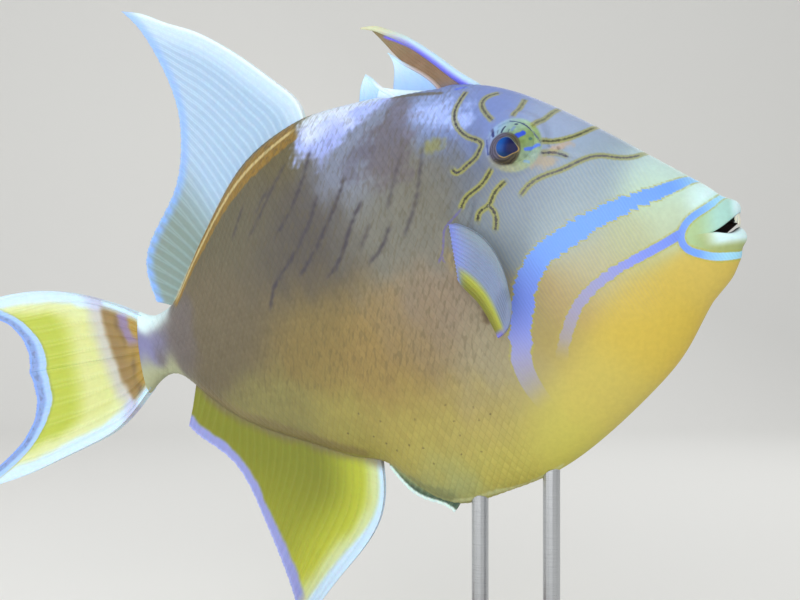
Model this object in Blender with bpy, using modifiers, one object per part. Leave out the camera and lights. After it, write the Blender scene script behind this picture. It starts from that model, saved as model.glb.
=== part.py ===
"""A queen triggerfish, life-size, as a still museum model on a plain display stand.

The fish is modelled in its own frame: x runs forward from the snout tip, so every point of
it has a negative x, y runs to its left and z runs up, square to the line from the snout to
the root of the tail fin. An empty then tilts it head up and lifts it over the stand. Outlines
are in millimetres behind the snout and above that line, as (behind, above).
"""

import math

import bmesh
import bpy
import numpy as np
from mathutils import Matrix, Vector

MM = 0.001

# Points nearer than this are one point
WELD = 0.000002

# Pose of the fish over the stand
PITCH = math.radians(9.2)
SNOUT_X = 0.150
SNOUT_Z = 0.224

# Fit between neighbours
GAP = 0.0003

# Body outline
TOP_LINE = [
    (17, 29), (36, 45), (72, 74), (100, 91), (120, 97), (150, 100), (186, 101), (203, 100),
    (220, 95.5), (247, 80.5), (265, 61), (283, 38), (296, 21), (304, 16.5), (312, 15), (321, 18.5),
]
BOTTOM_LINE = [
    (8, -15), (18, -24.5), (31, -42), (47, -57.5), (68, -73), (99, -90.5), (130, -99), (150, -101.5),
    (168, -93), (184, -79), (200, -74), (215, -68.5), (240, -58.5), (266, -46), (286, -30),
    (296, -21), (304, -18), (312, -20), (321, -26.5),
]
HALF_WIDTH = [
    (24, 12.8), (30, 15), (40, 18), (60, 22), (80, 25.5), (95, 27.5), (120, 31.5), (150, 32.5),
    (180, 31), (210, 27), (240, 21.5), (270, 14.5), (295, 9), (310, 7), (321, 5.5),
]
WIDEST_HEIGHT = [(24, 3.6), (60, 6), (120, 6), (200, 8), (260, 5), (300, 0), (321, -4)]
TOP_FULLNESS = [(17, 2.0), (60, 2.1), (150, 1.95), (321, 2.0)]
BOTTOM_FULLNESS = [(8, 2.0), (90, 1.75), (150, 1.5), (190, 1.7), (230, 1.8), (300, 2.1), (321, 2.1)]

# The face leans: its rings run back at the cheeks and forward at the chin
FACE_START = 17
FACE_END = 80
CHEEK_LEAN = 13
CHIN_LEAN = -9

# Rings of the mouth, from inside out: top, side and bottom points
MOUTH_RINGS = [
    # top behind, above, side behind, above, half width, bottom behind, above
    (15.0, 10.0, 18.0, 6.0, 4.5, 14.5, 2.4),
    (8.0, 12.2, 16.6, 5.3, 7.2, 8.0, 1.4),
    (4.0, 11.3, 14.5, 4.5, 8.6, 4.5, 3.2),
    (1.6, 11.6, 13.4, 4.4, 9.5, 1.4, 2.6),
    (0.3, 13.7, 13.6, 4.2, 10.6, 0.0, 0.0),
    (2.3, 17.2, 17.0, 4.1, 11.6, 0.9, -3.4),
    (7.0, 19.6, 23.6, 3.6, 12.4, 4.0, -7.0),
    (12.0, 24.6, 27.5, 3.8, 13.9, 6.0, -11.2),
]
THROAT = (19.5, 6.2)
ROUND_MOUTH = 2.0

# Where the body is parted, from the back down to the belly
LIPS_LINE = [
    (-12, 34), (6.5, 21), (15, 15.5), (21, 9), (23.5, 3.6), (20, -2.5), (12, -6.5), (4, -8), (-12, -22),
]
GILL_LINE = [(103, 120), (107, 60), (110, 36), (116, 12), (115, 0), (108, -40), (96, -120)]
WAIST_LINE = [(200, 120), (193, 20), (185.6, -75), (184, -120)]
TAIL_LINE = [(298, 60), (298, -60)]
REGION_FRONT = -30
REGION_REAR = 340
REGION_WIDTH = 0.2

# Edges sharper than this stay crisp
SHARP_ANGLE = math.radians(40)

# Mesh density of the body
AROUND = 36
BODY_STEP = 9.5
RINGS_PER_LIP = 2

# Eyes
EYE_BEHIND = 91.0
EYE_ABOVE = 59.5
EYE_RADIUS = 0.0120
EYE_DEPTH = 0.0072
EYE_PROUD = 0.0042
EYE_TILT_UP = math.radians(15)
EYE_TURN_FORWARD = math.radians(8)
TURRET_RADIUS = 0.0145
TURRET_DEPTH = 0.0060
TURRET_SUNK = 0.0027
LID_RADIUS = 0.0113
LID_THICKNESS = 0.0013
LID_LIFT = 0.0008

# Nostrils, the groove below them and the gill slit, as half sizes of the hollow
NOSTRILS = [(74.5, 54.5), (70.5, 53.0)]
NOSTRIL_SIZE = (0.0009, 0.0009, 0.0025)
GROOVE_FROM = (79.0, 52.5)
GROOVE_TO = (62.0, 46.5)
GROOVE_SIZE = (0.0011, 0.0014)
SLIT_FROM = (110.0, 35.5)
SLIT_TO = (116.0, 12.0)
SLIT_SIZE = (0.0010, 0.0035)

# Upper teeth
TOOTH_ANGLES = [53, 67, 82]
TOOTH_WIDTH = 0.0031
TOOTH_THICKNESS = 0.0018
TOOTH_TOP = 0.0030
TOOTH_DROP = 0.0020
TOOTH_SET_BACK = 0.0012
TOOTH_STEP = 0.00015

# Thickness of the fins: along a ray and on the membrane, at the root and at the margin
RAY_ROOT = 0.0024
RAY_TIP = 0.0008
MEMBRANE_ROOT = 0.0015
MEMBRANE_TIP = 0.0005
TAPER = 1.5

# Scaly sheath along the two long fins: how much thicker than a ray's root
SHEATH = 1.6

# Second dorsal fin
DORSAL_RAYS = 24
DORSAL_ROWS = 6
DORSAL_WAVE = 2.5
DORSAL_SPLIT_RAY = 13
DORSAL_LEADING = [
    (203, 96), (206, 109), (216, 121), (232, 137), (248, 151), (265, 163), (280, 171), (295, 180), (308, 185),
]
DORSAL_BASE = [(203, 96), (220, 91.5), (247, 76.5), (265, 57), (283, 34), (296, 17)]
DORSAL_TRAILING = [(296, 17), (303, 20), (309, 22)]
DORSAL_MARGIN = [
    (0, 308, 185), (0.2, 300, 175), (0.35, 291, 158), (0.5, 281, 130), (0.6, 279, 107),
    (0.72, 286, 80), (0.85, 304, 58), (0.93, 312, 40), (1, 309, 22),
]

# Anal fin
ANAL_RAYS = 22
ANAL_ROWS = 5
ANAL_WAVE = -2.5
ANAL_LEADING = [(188, -74), (189, -92), (193, -104), (205, -119), (220, -132), (232, -143), (246, -156)]
ANAL_BASE = [(188, -74), (215, -64.5), (240, -54.5), (266, -42), (289, -22)]
ANAL_TRAILING = [(289, -22), (295, -38), (299, -47)]
ANAL_MARGIN = [
    (0, 246, -156), (0.3, 250, -130), (0.45, 257, -110), (0.6, 263, -95),
    (0.75, 275, -70), (0.88, 292, -55), (1, 299, -47),
]

# Tail fin: the two lobes meet along the middle ray
LOBE_RAYS = 7
LOBE_ROWS = 8
TAIL_ROOT_BEHIND = 319
TAIL_MIDDLE = -4
UPPER_EDGE = [(319, 16), (330, 22), (348, 30), (372, 38), (397, 42), (419, 42.5), (450, 42), (489, 45)]
UPPER_MARGIN = [
    (0, 489, 45), (0.12, 458, 36), (0.25, 432, 32), (0.42, 414, 25), (0.62, 404.5, 13), (1, 403.5, -4),
]
LOWER_EDGE = [
    (319, -24), (333, -35.5), (345, -43), (366, -50), (393, -57), (414, -62), (446, -67), (485, -75),
]
LOWER_MARGIN = [
    (0, 485, -75), (0.12, 457, -64.5), (0.25, 434, -54.5), (0.42, 415, -43), (0.62, 403, -29), (1, 403.5, -4),
]
TAIL_ROOT_THICKNESS = 0.0075

# First dorsal fin: the locking spine, the second spine and the membrane that joins them
FIRST_SPINE = [(109, 84), (112, 99), (120, 107.5), (132, 118), (146, 128.5), (158, 135.5), (166, 137)]
FIRST_SPINE_RADII = [3.0, 2.7, 2.5, 2.3, 2.0, 1.4, 0.5]
SECOND_SPINE = [(129, 88), (135, 102), (142, 110.5), (148, 116.5), (153, 121)]
SECOND_SPINE_RADII = [1.6, 1.4, 1.2, 0.9, 0.4]
SPINE_MEMBRANE = [
    (112, 88), (114, 100), (132, 117), (150, 130.5), (163, 136), (157, 129.5), (152.5, 122),
    (151.5, 117), (150, 110), (152, 100), (151, 90),
]
THIRD_SPINE = [(157, 92), (160, 102), (164, 109), (167.5, 114)]
THIRD_SPINE_RADII = [1.2, 1.1, 0.9, 0.35]
THIRD_MEMBRANE = [(155.5, 92), (157, 102), (162.5, 108.5), (167, 113.5), (170.5, 109), (174, 102), (178, 92)]
SPINE_MEMBRANE_THICKNESS = 0.0009

# Pelvic flap behind the knob of the pelvis
PELVIC_RAYS = 10
PELVIC_ROWS = 2
PELVIC_LEADING = [(148, -97), (151.5, -103), (154, -105.5)]
PELVIC_BASE = [(148, -97), (160, -94), (172, -87), (184, -75)]
PELVIC_TRAILING = [(184, -75), (184.3, -79), (184.2, -81.5)]
PELVIC_MARGIN = [
    (0, 154, -105.5), (0.12, 158, -102.3), (0.3, 166, -99), (0.62, 176, -92.5), (1, 184.2, -81.5),
]

# Pectoral fins: behind, above and out from the middle of the fish
PECTORAL_RAYS = 12
PECTORAL_ROWS = 5
PECTORAL_UPPER = [(125, 28, 27), (117, 26, 37), (105, 18, 41.5), (97, 2, 43), (95.5, -14, 43)]
PECTORAL_LOWER = [(123, 5, 28), (119, -1, 36), (112, -10, 38.5), (107.5, -19, 40), (104.5, -27, 41)]
PECTORAL_MARGIN = [(0, 95.5, -14, 43), (0.5, 98.2, -23, 43.2), (1, 104.5, -27, 41)]
PECTORAL_BASE = [(125, 28, 27), (124.5, 17, 27.5), (123, 5, 28)]

# Display stand
BASE_LENGTH = 0.240
BASE_WIDTH = 0.130
BASE_HEIGHT = 0.016
BASE_BEVEL = 0.003
ROD_RADIUS = 0.004
ROD_STATIONS = {"stand_rod_front": 103, "stand_rod_rear": 140}
COLLAR_RADIUS = 0.010
COLLAR_HEIGHT = 0.006


def curve(points):
    """The natural cubic curve through (position, value, ...) points, as a function."""
    table = np.array(points, float)
    knots = table[:, 0]
    values = table[:, 1:]
    count = len(knots)
    steps = np.diff(knots)
    slopes = np.diff(values, axis=0) / steps[:, None]
    system = np.eye(count)
    right = np.zeros_like(values)
    for i in range(1, count - 1):
        system[i, i - 1] = steps[i - 1]
        system[i, i] = 2 * (steps[i - 1] + steps[i])
        system[i, i + 1] = steps[i]
        right[i] = 6 * (slopes[i] - slopes[i - 1])
    bends = np.linalg.solve(system, right)

    def value(position):
        at = np.atleast_1d(np.asarray(position, float))
        i = np.clip(np.searchsorted(knots, at) - 1, 0, count - 2)
        near = (at - knots[i])[:, None]
        far = (knots[i + 1] - at)[:, None]
        width = steps[i][:, None]
        found = (bends[i] * far**3 + bends[i + 1] * near**3) / (6 * width)
        found += (values[i] / width - bends[i] * width / 6) * far
        found += (values[i + 1] / width - bends[i + 1] * width / 6) * near
        return found if np.ndim(position) else found[0]

    return value


def line_through(points):
    """A smooth line through the points, as a function of the share of its length."""
    table = np.array(points, float)
    lengths = np.linalg.norm(np.diff(table, axis=0), axis=1)
    shares = np.concatenate([[0], np.cumsum(lengths)]) / lengths.sum()
    return curve(np.column_stack([shares, table]))


def smoothstep(value):
    share = min(max(value, 0.0), 1.0)
    return share * share * (3 - 2 * share)


top_line = curve(TOP_LINE)
bottom_line = curve(BOTTOM_LINE)
half_width = curve(HALF_WIDTH)
widest_height = curve(WIDEST_HEIGHT)
top_fullness = curve(TOP_FULLNESS)
bottom_fullness = curve(BOTTOM_FULLNESS)


def body_ring(behind):
    """One ring of the body: top, side and bottom points and how full its two halves are."""
    lean = 1 - smoothstep((behind - FACE_START) / (FACE_END - FACE_START))
    side = behind + CHEEK_LEAN * lean
    low = behind + CHIN_LEAN * lean
    return [
        behind, top_line(behind)[0],
        side, widest_height(side)[0], half_width(side)[0],
        low, bottom_line(low)[0],
        top_fullness(behind)[0], bottom_fullness(low)[0],
    ]


def body_rings():
    """All rings, from the back of the mouth over the lips to the root of the tail fin."""
    mouth = [list(ring) + [ROUND_MOUTH, ROUND_MOUTH] for ring in MOUTH_RINGS]
    end = TOP_LINE[-1][0]
    stations = np.linspace(FACE_START, end, round((end - FACE_START) / BODY_STEP) + 1)
    flank = [body_ring(station) for station in stations]
    lips = line_through(mouth + flank[:1])
    shares = np.linspace(0, 1, RINGS_PER_LIP * len(mouth) + 1)[:-1]
    return [list(lips(share)) for share in shares] + flank


def ring_point(ring, angle):
    """The ring's point at an angle from the left side (0) over the back (a quarter turn)."""
    top_s, top_h, side_s, side_h, side_y, low_s, low_h, top_n, low_n = ring
    across, up = math.cos(angle), math.sin(angle)
    upper = up >= 0
    power = 2 / (top_n if upper else low_n)
    end_s, end_h = (top_s, top_h) if upper else (low_s, low_h)
    behind = side_s + (end_s - side_s) * up * up
    above = side_h + (end_h - side_h) * abs(up) ** power
    out = math.copysign(abs(across) ** power, across) * side_y
    return Vector((-behind, out, above)) * MM


def flank_out(behind, above):
    """How far the flank stands out from the middle at a place behind the face."""
    side_h = widest_height(behind)[0]
    upper = above >= side_h
    end = top_line(behind)[0] if upper else bottom_line(behind)[0]
    power = top_fullness(behind)[0] if upper else bottom_fullness(behind)[0]
    share = min(abs((above - side_h) / (end - side_h)), 1.0)
    return half_width(behind)[0] * (1 - share**power) ** (1 / power)


def finish(objects, name, color, roughness, metallic=0.0):
    """Gives the objects one plain material and smooth shading between their sharp edges."""
    found = bpy.data.materials.new(name)
    found.use_nodes = True
    shader = found.node_tree.nodes["Principled BSDF"]
    shader.inputs["Base Color"].default_value = (*color, 1)
    shader.inputs["Roughness"].default_value = roughness
    shader.inputs["Metallic"].default_value = metallic
    for obj in objects.values():
        obj.data.materials.clear()
        obj.data.materials.append(found)
        obj.data.shade_smooth()
        obj.data.set_sharp_from_angle(angle=SHARP_ANGLE)


def link(name, mesh, collection):
    obj = bpy.data.objects.new(name, mesh)
    collection.objects.link(obj)
    return obj


def from_bmesh(name, bm, collection):
    bmesh.ops.triangulate(bm, faces=bm.faces)
    bmesh.ops.recalc_face_normals(bm, faces=bm.faces)
    mesh = bpy.data.meshes.new(name)
    bm.to_mesh(mesh)
    bm.free()
    return link(name, mesh, collection)


def cutter(obj):
    obj.hide_render = True
    obj.display_type = "WIRE"
    return obj


def put_in_order(elements, key):
    for index, element in enumerate(sorted(elements, key=key)):
        element.index = index
    elements.sort()


def tidy_mesh(mesh):
    """Welds and triangulates a mesh, in a fixed order so that each run gives the same one."""
    bm = bmesh.new()
    bm.from_mesh(mesh)
    bmesh.ops.remove_doubles(bm, verts=bm.verts, dist=WELD)
    bmesh.ops.dissolve_degenerate(bm, edges=bm.edges, dist=WELD)
    along_edges = [vertex for vertex in bm.verts if len(vertex.link_edges) == 2]
    bmesh.ops.dissolve_verts(bm, verts=along_edges)
    bmesh.ops.triangulate(bm, faces=bm.faces)
    put_in_order(bm.verts, lambda vertex: tuple(round(value, 7) for value in vertex.co))
    put_in_order(bm.faces, lambda face: sorted(vertex.index for vertex in face.verts))
    bm.to_mesh(mesh)
    bm.free()


def apply_modifiers(obj):
    bpy.context.view_layer.update()
    graph = bpy.context.evaluated_depsgraph_get()
    mesh = bpy.data.meshes.new_from_object(obj.evaluated_get(graph))
    tidy_mesh(mesh)
    obj.modifiers.clear()
    obj.data = mesh


def boolean(obj, operation, other):
    """Cuts, joins or keeps what is shared with another solid, and applies it at once."""
    modifier = obj.modifiers.new(operation.lower(), "BOOLEAN")
    modifier.operation = operation
    modifier.solver = "EXACT"
    modifier.object = other
    apply_modifiers(obj)


def join_all(obj, others):
    """One union on a collection of the pieces, which then go."""
    pieces = bpy.data.collections.new(obj.name + "_pieces")
    for other in others:
        pieces.objects.link(other)
    modifier = obj.modifiers.new("union", "BOOLEAN")
    modifier.operation = "UNION"
    modifier.solver = "EXACT"
    modifier.operand_type = "COLLECTION"
    modifier.collection = pieces
    apply_modifiers(obj)
    for other in others:
        bpy.data.objects.remove(other)
    bpy.data.collections.remove(pieces)


def keep_largest(obj):
    """Keeps the largest closed surface of the mesh."""
    bm = bmesh.new()
    bm.from_mesh(obj.data)
    bm.faces.index_update()
    bm.faces.ensure_lookup_table()
    island_of = {}
    areas = []
    for first in range(len(bm.faces)):
        if first in island_of:
            continue
        island_of[first] = len(areas)
        waiting = [first]
        areas.append(0)
        while waiting:
            face = bm.faces[waiting.pop()]
            areas[-1] += face.calc_area()
            near = [other.index for edge in face.edges for other in edge.link_faces]
            fresh = [index for index in dict.fromkeys(near) if index not in island_of]
            island_of.update(dict.fromkeys(fresh, island_of[first]))
            waiting.extend(fresh)
    largest = areas.index(max(areas))
    loose = [face for face in bm.faces if island_of[face.index] != largest]
    bmesh.ops.delete(bm, geom=loose, context="FACES")
    bm.to_mesh(obj.data)
    bm.free()


def body_solid(name, collection, grow=0.0):
    """The whole body as one closed loft, grown outward by a little where it is to cut."""
    bm = bmesh.new()
    rings = body_rings()
    angles = [2 * math.pi * k / AROUND for k in range(AROUND)]
    rows = [[bm.verts.new(ring_point(ring, angle)) for angle in angles] for ring in rings]
    for near, far in zip(rows, rows[1:]):
        for k in range(AROUND):
            after = (k + 1) % AROUND
            bm.faces.new((near[k], near[after], far[after], far[k]))
    throat = bm.verts.new(Vector((-THROAT[0], 0, THROAT[1])) * MM)
    end = bm.verts.new(Vector((-TOP_LINE[-1][0] - 1.5, 0, TAIL_MIDDLE)) * MM)
    for k in range(AROUND):
        after = (k + 1) % AROUND
        bm.faces.new((throat, rows[0][after], rows[0][k]))
        bm.faces.new((end, rows[-1][k], rows[-1][after]))
    bmesh.ops.recalc_face_normals(bm, faces=bm.faces)
    bm.normal_update()
    outward = [vertex.normal.copy() for vertex in bm.verts]
    for vertex, normal in zip(bm.verts, outward):
        vertex.co += normal * grow
    return from_bmesh(name, bm, collection)


def plate(name, outline, collection, thickness):
    """A flat plate along the fish's middle, of a side-view outline in millimetres."""
    bm = bmesh.new()
    corners = [bm.verts.new((-s * MM, -thickness / 2, h * MM)) for s, h in outline]
    face = bm.faces.new(corners)
    walls = bmesh.ops.extrude_face_region(bm, geom=[face])
    moved = [item for item in walls["geom"] if isinstance(item, bmesh.types.BMVert)]
    bmesh.ops.translate(bm, verts=moved, vec=(0, thickness, 0))
    return from_bmesh(name, bm, collection)


def region(name, outline, collection):
    """A block right across the fish that keeps or takes one stretch of the body."""
    return cutter(plate(name, outline, collection, REGION_WIDTH))


def shifted(line, distance):
    """A parting line moved square to itself, towards the tail where the distance is positive."""
    table = np.array(line, float)
    along = np.gradient(table, axis=0)
    along /= np.linalg.norm(along, axis=1, keepdims=True)
    across = np.column_stack([-along[:, 1], along[:, 0]])
    return [tuple(point) for point in table + across * distance]


def part_body(parts, cutters):
    """The body in the pieces that a person would name, half a gap clear of each parting."""
    half_gap = GAP / MM / 2
    front_end = [(REGION_FRONT, GILL_LINE[0][1]), (REGION_FRONT, GILL_LINE[-1][1])]
    rear_end = [(REGION_REAR, TAIL_LINE[0][1]), (REGION_REAR, TAIL_LINE[-1][1])]
    lines = [front_end, GILL_LINE, WAIST_LINE, TAIL_LINE, rear_end]
    names = ("head", "trunk", "hind_body", "caudal_peduncle")
    pieces = {name: body_solid(name, parts) for name in (*names, "lips")}
    for name, front, rear in zip(names, lines, lines[1:]):
        outline = shifted(front, half_gap) + shifted(rear, -half_gap)[::-1]
        boolean(pieces[name], "INTERSECT", region(name + "_region", outline, cutters))
    boolean(pieces["lips"], "INTERSECT", region("lips_region", shifted(LIPS_LINE, -half_gap), cutters))
    boolean(pieces["head"], "DIFFERENCE", region("lips_gap", shifted(LIPS_LINE, half_gap), cutters))
    return pieces


def eye_axes(side):
    """The eye's centre and its outward direction. side is -1 on the right and 1 on the left."""
    direction = Vector((
        math.sin(EYE_TURN_FORWARD) * math.cos(EYE_TILT_UP),
        side * math.cos(EYE_TURN_FORWARD) * math.cos(EYE_TILT_UP),
        math.sin(EYE_TILT_UP),
    ))
    return flank_point(EYE_BEHIND, EYE_ABOVE, side), direction


def sphere(name, collection, centre, direction, radii, segments, rings):
    """A ball or a flattened ball whose last axis points along a direction."""
    bm = bmesh.new()
    bmesh.ops.create_uvsphere(bm, u_segments=segments, v_segments=rings, radius=1)
    turn = direction.to_track_quat("Z", "Y").to_matrix().to_4x4()
    place = Matrix.Translation(centre) @ turn @ Matrix.Diagonal((*radii, 1))
    bmesh.ops.transform(bm, matrix=place, verts=bm.verts)
    return from_bmesh(name, bm, collection)


def torus(name, collection, centre, direction, radius, thickness, segments, sides):
    bm = bmesh.new()
    turn = Matrix.Translation(centre) @ direction.to_track_quat("Z", "Y").to_matrix().to_4x4()
    rows = []
    for i in range(segments):
        turned = 2 * math.pi * i / segments
        row = []
        for j in range(sides):
            lean = 2 * math.pi * j / sides
            reach = radius + thickness * math.cos(lean)
            point = Vector((reach * math.cos(turned), reach * math.sin(turned), thickness * math.sin(lean)))
            row.append(bm.verts.new(turn @ point))
        rows.append(row)
    for i in range(segments):
        near, far = rows[i], rows[(i + 1) % segments]
        for j in range(sides):
            after = (j + 1) % sides
            bm.faces.new((near[j], far[j], far[after], near[after]))
    return from_bmesh(name, bm, collection)


def add_eyes(head, parts, cutters):
    """Turret, lid and socket on each side of the head, and the two eyeballs."""
    eyes = {}
    for name, side in (("eye_right", -1), ("eye_left", 1)):
        surface, direction = eye_axes(side)
        centre = surface + direction * (EYE_PROUD - EYE_DEPTH)
        turret = sphere(
            "turret", cutters, surface - direction * TURRET_SUNK, direction,
            (TURRET_RADIUS, TURRET_RADIUS, TURRET_DEPTH), 18, 8,
        )
        lid_place = surface + direction * LID_LIFT
        lid = torus("lid", cutters, lid_place, direction, LID_RADIUS, LID_THICKNESS, 24, 6)
        join_all(head, [turret, lid])
        ball = (EYE_RADIUS, EYE_RADIUS, EYE_DEPTH)
        socket = sphere("socket", cutters, centre, direction, [radius + GAP for radius in ball], 20, 10)
        boolean(head, "DIFFERENCE", cutter(socket))
        eyes[name] = sphere(name, parts, centre, direction, ball, 20, 10)
    return eyes


def flank_point(behind, above, side):
    return Vector((-behind, side * flank_out(behind, above), above)) * MM


def hollow(name, collection, start, end, out, half_width, half_depth):
    """A long narrow ball from one point to another, which sinks a groove or a slit."""
    along = end - start
    across = along.cross(out).normalized()
    out = across.cross(along).normalized()
    bm = bmesh.new()
    bmesh.ops.create_uvsphere(bm, u_segments=8, v_segments=8, radius=1)
    turn = Matrix((across, out, along.normalized())).transposed().to_4x4()
    size = Matrix.Diagonal((half_width, half_depth, along.length / 2, 1))
    bmesh.ops.transform(bm, matrix=Matrix.Translation((start + end) / 2) @ turn @ size, verts=bm.verts)
    return cutter(from_bmesh(name, bm, collection))


def carve_face(head, trunk, cutters):
    """Two nostrils and the groove below them before each eye, and the gill slit."""
    for side in (-1, 1):
        out = Vector((0.2, side, 0.25)).normalized()
        for behind, above in NOSTRILS:
            pit = sphere("nostril", cutters, flank_point(behind, above, side), out, NOSTRIL_SIZE, 8, 6)
            boolean(head, "DIFFERENCE", cutter(pit))
        ends = [flank_point(*place, side) for place in (GROOVE_FROM, GROOVE_TO)]
        boolean(head, "DIFFERENCE", hollow("groove", cutters, *ends, out, *GROOVE_SIZE))
        ends = [flank_point(*place, side) for place in (SLIT_FROM, SLIT_TO)]
        slit = hollow("gill_slit", cutters, *ends, Vector((0, side, 0)), *SLIT_SIZE)
        boolean(head, "DIFFERENCE", slit)
        boolean(trunk, "DIFFERENCE", slit)


def section_tube(name, collection, points, radii, sides=8):
    """A tapered spine: a curve with a bevel and a radius at each point, made a closed mesh."""
    data = bpy.data.curves.new(name, "CURVE")
    data.dimensions = "3D"
    data.bevel_depth = MM
    data.bevel_resolution = (sides - 4) // 2
    data.use_fill_caps = True
    spline = data.splines.new("POLY")
    spline.points.add(len(points) - 1)
    for place, (s, h), radius in zip(spline.points, points, radii):
        place.co = (-s * MM, 0, h * MM, 1)
        place.radius = radius
    guide = link(name + "_guide", data, collection)
    bpy.context.view_layer.update()
    graph = bpy.context.evaluated_depsgraph_get()
    mesh = bpy.data.meshes.new_from_object(guide.evaluated_get(graph))
    bpy.data.objects.remove(guide)
    bm = bmesh.new()
    bm.from_mesh(mesh)
    bmesh.ops.remove_doubles(bm, verts=bm.verts, dist=WELD)
    return from_bmesh(name, bm, collection)


def fin_points(base, margin, leading, trailing, rays, rows, wave=0.0):
    """Rows of points from the root to the margin along each ray and along each membrane."""
    columns = 2 * rays - 1
    base_line = line_through(base)
    margin_line = curve(margin)
    leading_line = line_through(leading)
    trailing_line = line_through(trailing)
    corners = [leading_line(0), trailing_line(0), leading_line(1), trailing_line(1)]
    grid = np.zeros((columns, rows + 1, 3))
    for i in range(columns):
        u = i / (columns - 1)
        for j in range(rows + 1):
            v = j / rows
            flat = (1 - v) * base_line(u) + v * margin_line(u)
            flat = flat + (1 - u) * leading_line(v) + u * trailing_line(v)
            flat = flat - (1 - u) * (1 - v) * corners[0] - u * (1 - v) * corners[1]
            flat = flat - (1 - u) * v * corners[2] - u * v * corners[3]
            out = flat[2] if len(flat) == 3 else wave * v * v * math.sin(2 * math.pi * (0.9 * u + 0.1))
            grid[i, j] = (-flat[0] * MM, out * MM, flat[1] * MM)
    return grid


def fin_solid(name, collection, grid, root=1.0):
    """Two faces of a fin a ray's or a membrane's thickness apart, split alike on both faces."""
    columns, rows = grid.shape[:2]
    along = np.gradient(grid, axis=0)
    up = np.gradient(grid, axis=1)
    normals = np.cross(along, up)
    normals /= np.linalg.norm(normals, axis=2, keepdims=True)
    bm = bmesh.new()
    faces = []
    for side in (-1, 1):
        sheet = []
        for i in range(columns):
            row = []
            for j in range(rows):
                v = j / (rows - 1)
                thick_root, thick_tip = (RAY_ROOT, RAY_TIP) if i % 2 == 0 else (MEMBRANE_ROOT, MEMBRANE_TIP)
                left = (1 - v) ** TAPER
                half = 0.5 * (thick_root * root * left + thick_tip * (1 - left))
                row.append(bm.verts.new(Vector(grid[i, j] + side * half * normals[i, j])))
            sheet.append(row)
        for i in range(columns - 1):
            for j in range(rows - 1):
                a, b, c, d = sheet[i][j], sheet[i + 1][j], sheet[i + 1][j + 1], sheet[i][j + 1]
                bm.faces.new((a, b, c) if side > 0 else (a, c, b))
                bm.faces.new((a, c, d) if side > 0 else (a, d, c))
        faces.append(sheet)
    under, over = faces
    rim = [(i, 0) for i in range(columns)]
    rim += [(columns - 1, j) for j in range(1, rows)]
    rim += [(i, rows - 1) for i in range(columns - 2, -1, -1)]
    rim += [(0, j) for j in range(rows - 2, 0, -1)]
    for (i, j), (k, m) in zip(rim, rim[1:] + rim[:1]):
        bm.faces.new((under[i][j], under[k][m], over[k][m]))
        bm.faces.new((under[i][j], over[k][m], over[i][j]))
    return from_bmesh(name, bm, collection)


def second_dorsal_fin(parts):
    """The fin in two lengths, which meet a gap apart along one ray beside its hollow margin."""
    grid = fin_points(
        DORSAL_BASE, DORSAL_MARGIN, DORSAL_LEADING, DORSAL_TRAILING, DORSAL_RAYS, DORSAL_ROWS, DORSAL_WAVE
    )
    column = 2 * DORSAL_SPLIT_RAY
    front = grid[:column + 1].copy()
    rear = grid[column:].copy()
    along = grid[column + 1] - grid[column - 1]
    step = along / np.linalg.norm(along, axis=1, keepdims=True) * GAP / 2
    front[-1] -= step
    rear[0] += step
    return [
        fin_solid("second_dorsal_fin_front", parts, front, SHEATH),
        fin_solid("second_dorsal_fin_rear", parts, rear, SHEATH),
    ]


def anal_fin(parts):
    grid = fin_points(ANAL_BASE, ANAL_MARGIN, ANAL_LEADING, ANAL_TRAILING, ANAL_RAYS, ANAL_ROWS, ANAL_WAVE)
    return fin_solid("anal_fin", parts, grid, SHEATH)


def pelvic_fin(parts):
    grid = fin_points(PELVIC_BASE, PELVIC_MARGIN, PELVIC_LEADING, PELVIC_TRAILING, PELVIC_RAYS, PELVIC_ROWS)
    return fin_solid("pelvic_fin", parts, grid)


def tail_lobe(name, parts, edge, margin, clear):
    """One lobe of the tail fin, from its outer edge to the middle ray, half a gap clear of it."""
    middle = TAIL_MIDDLE + clear
    fork = margin[-1][1]
    root_line = [edge[0], (TAIL_ROOT_BEHIND, middle)]
    margin_line = margin[:-1] + [(1, fork, middle)]
    middle_ray = [(TAIL_ROOT_BEHIND, middle), (fork, middle)]
    grid = fin_points(root_line, margin_line, edge, middle_ray, LOBE_RAYS, LOBE_ROWS)
    return fin_solid(name, parts, grid, TAIL_ROOT_THICKNESS / RAY_ROOT)


def pectoral_fin(name, parts, side):
    grid = fin_points(
        PECTORAL_BASE, PECTORAL_MARGIN, PECTORAL_UPPER, PECTORAL_LOWER, PECTORAL_RAYS, PECTORAL_ROWS
    )
    grid[:, :, 1] *= side
    return fin_solid(name, parts, grid)


def spiny_fin(name, parts, membrane, spines):
    """Tapered spines joined by their flat membrane."""
    rods = [section_tube(name + "_spine", parts, points, radii) for points, radii in spines]
    web = plate(name, membrane, parts, SPINE_MEMBRANE_THICKNESS)
    join_all(web, rods)
    return web


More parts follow.
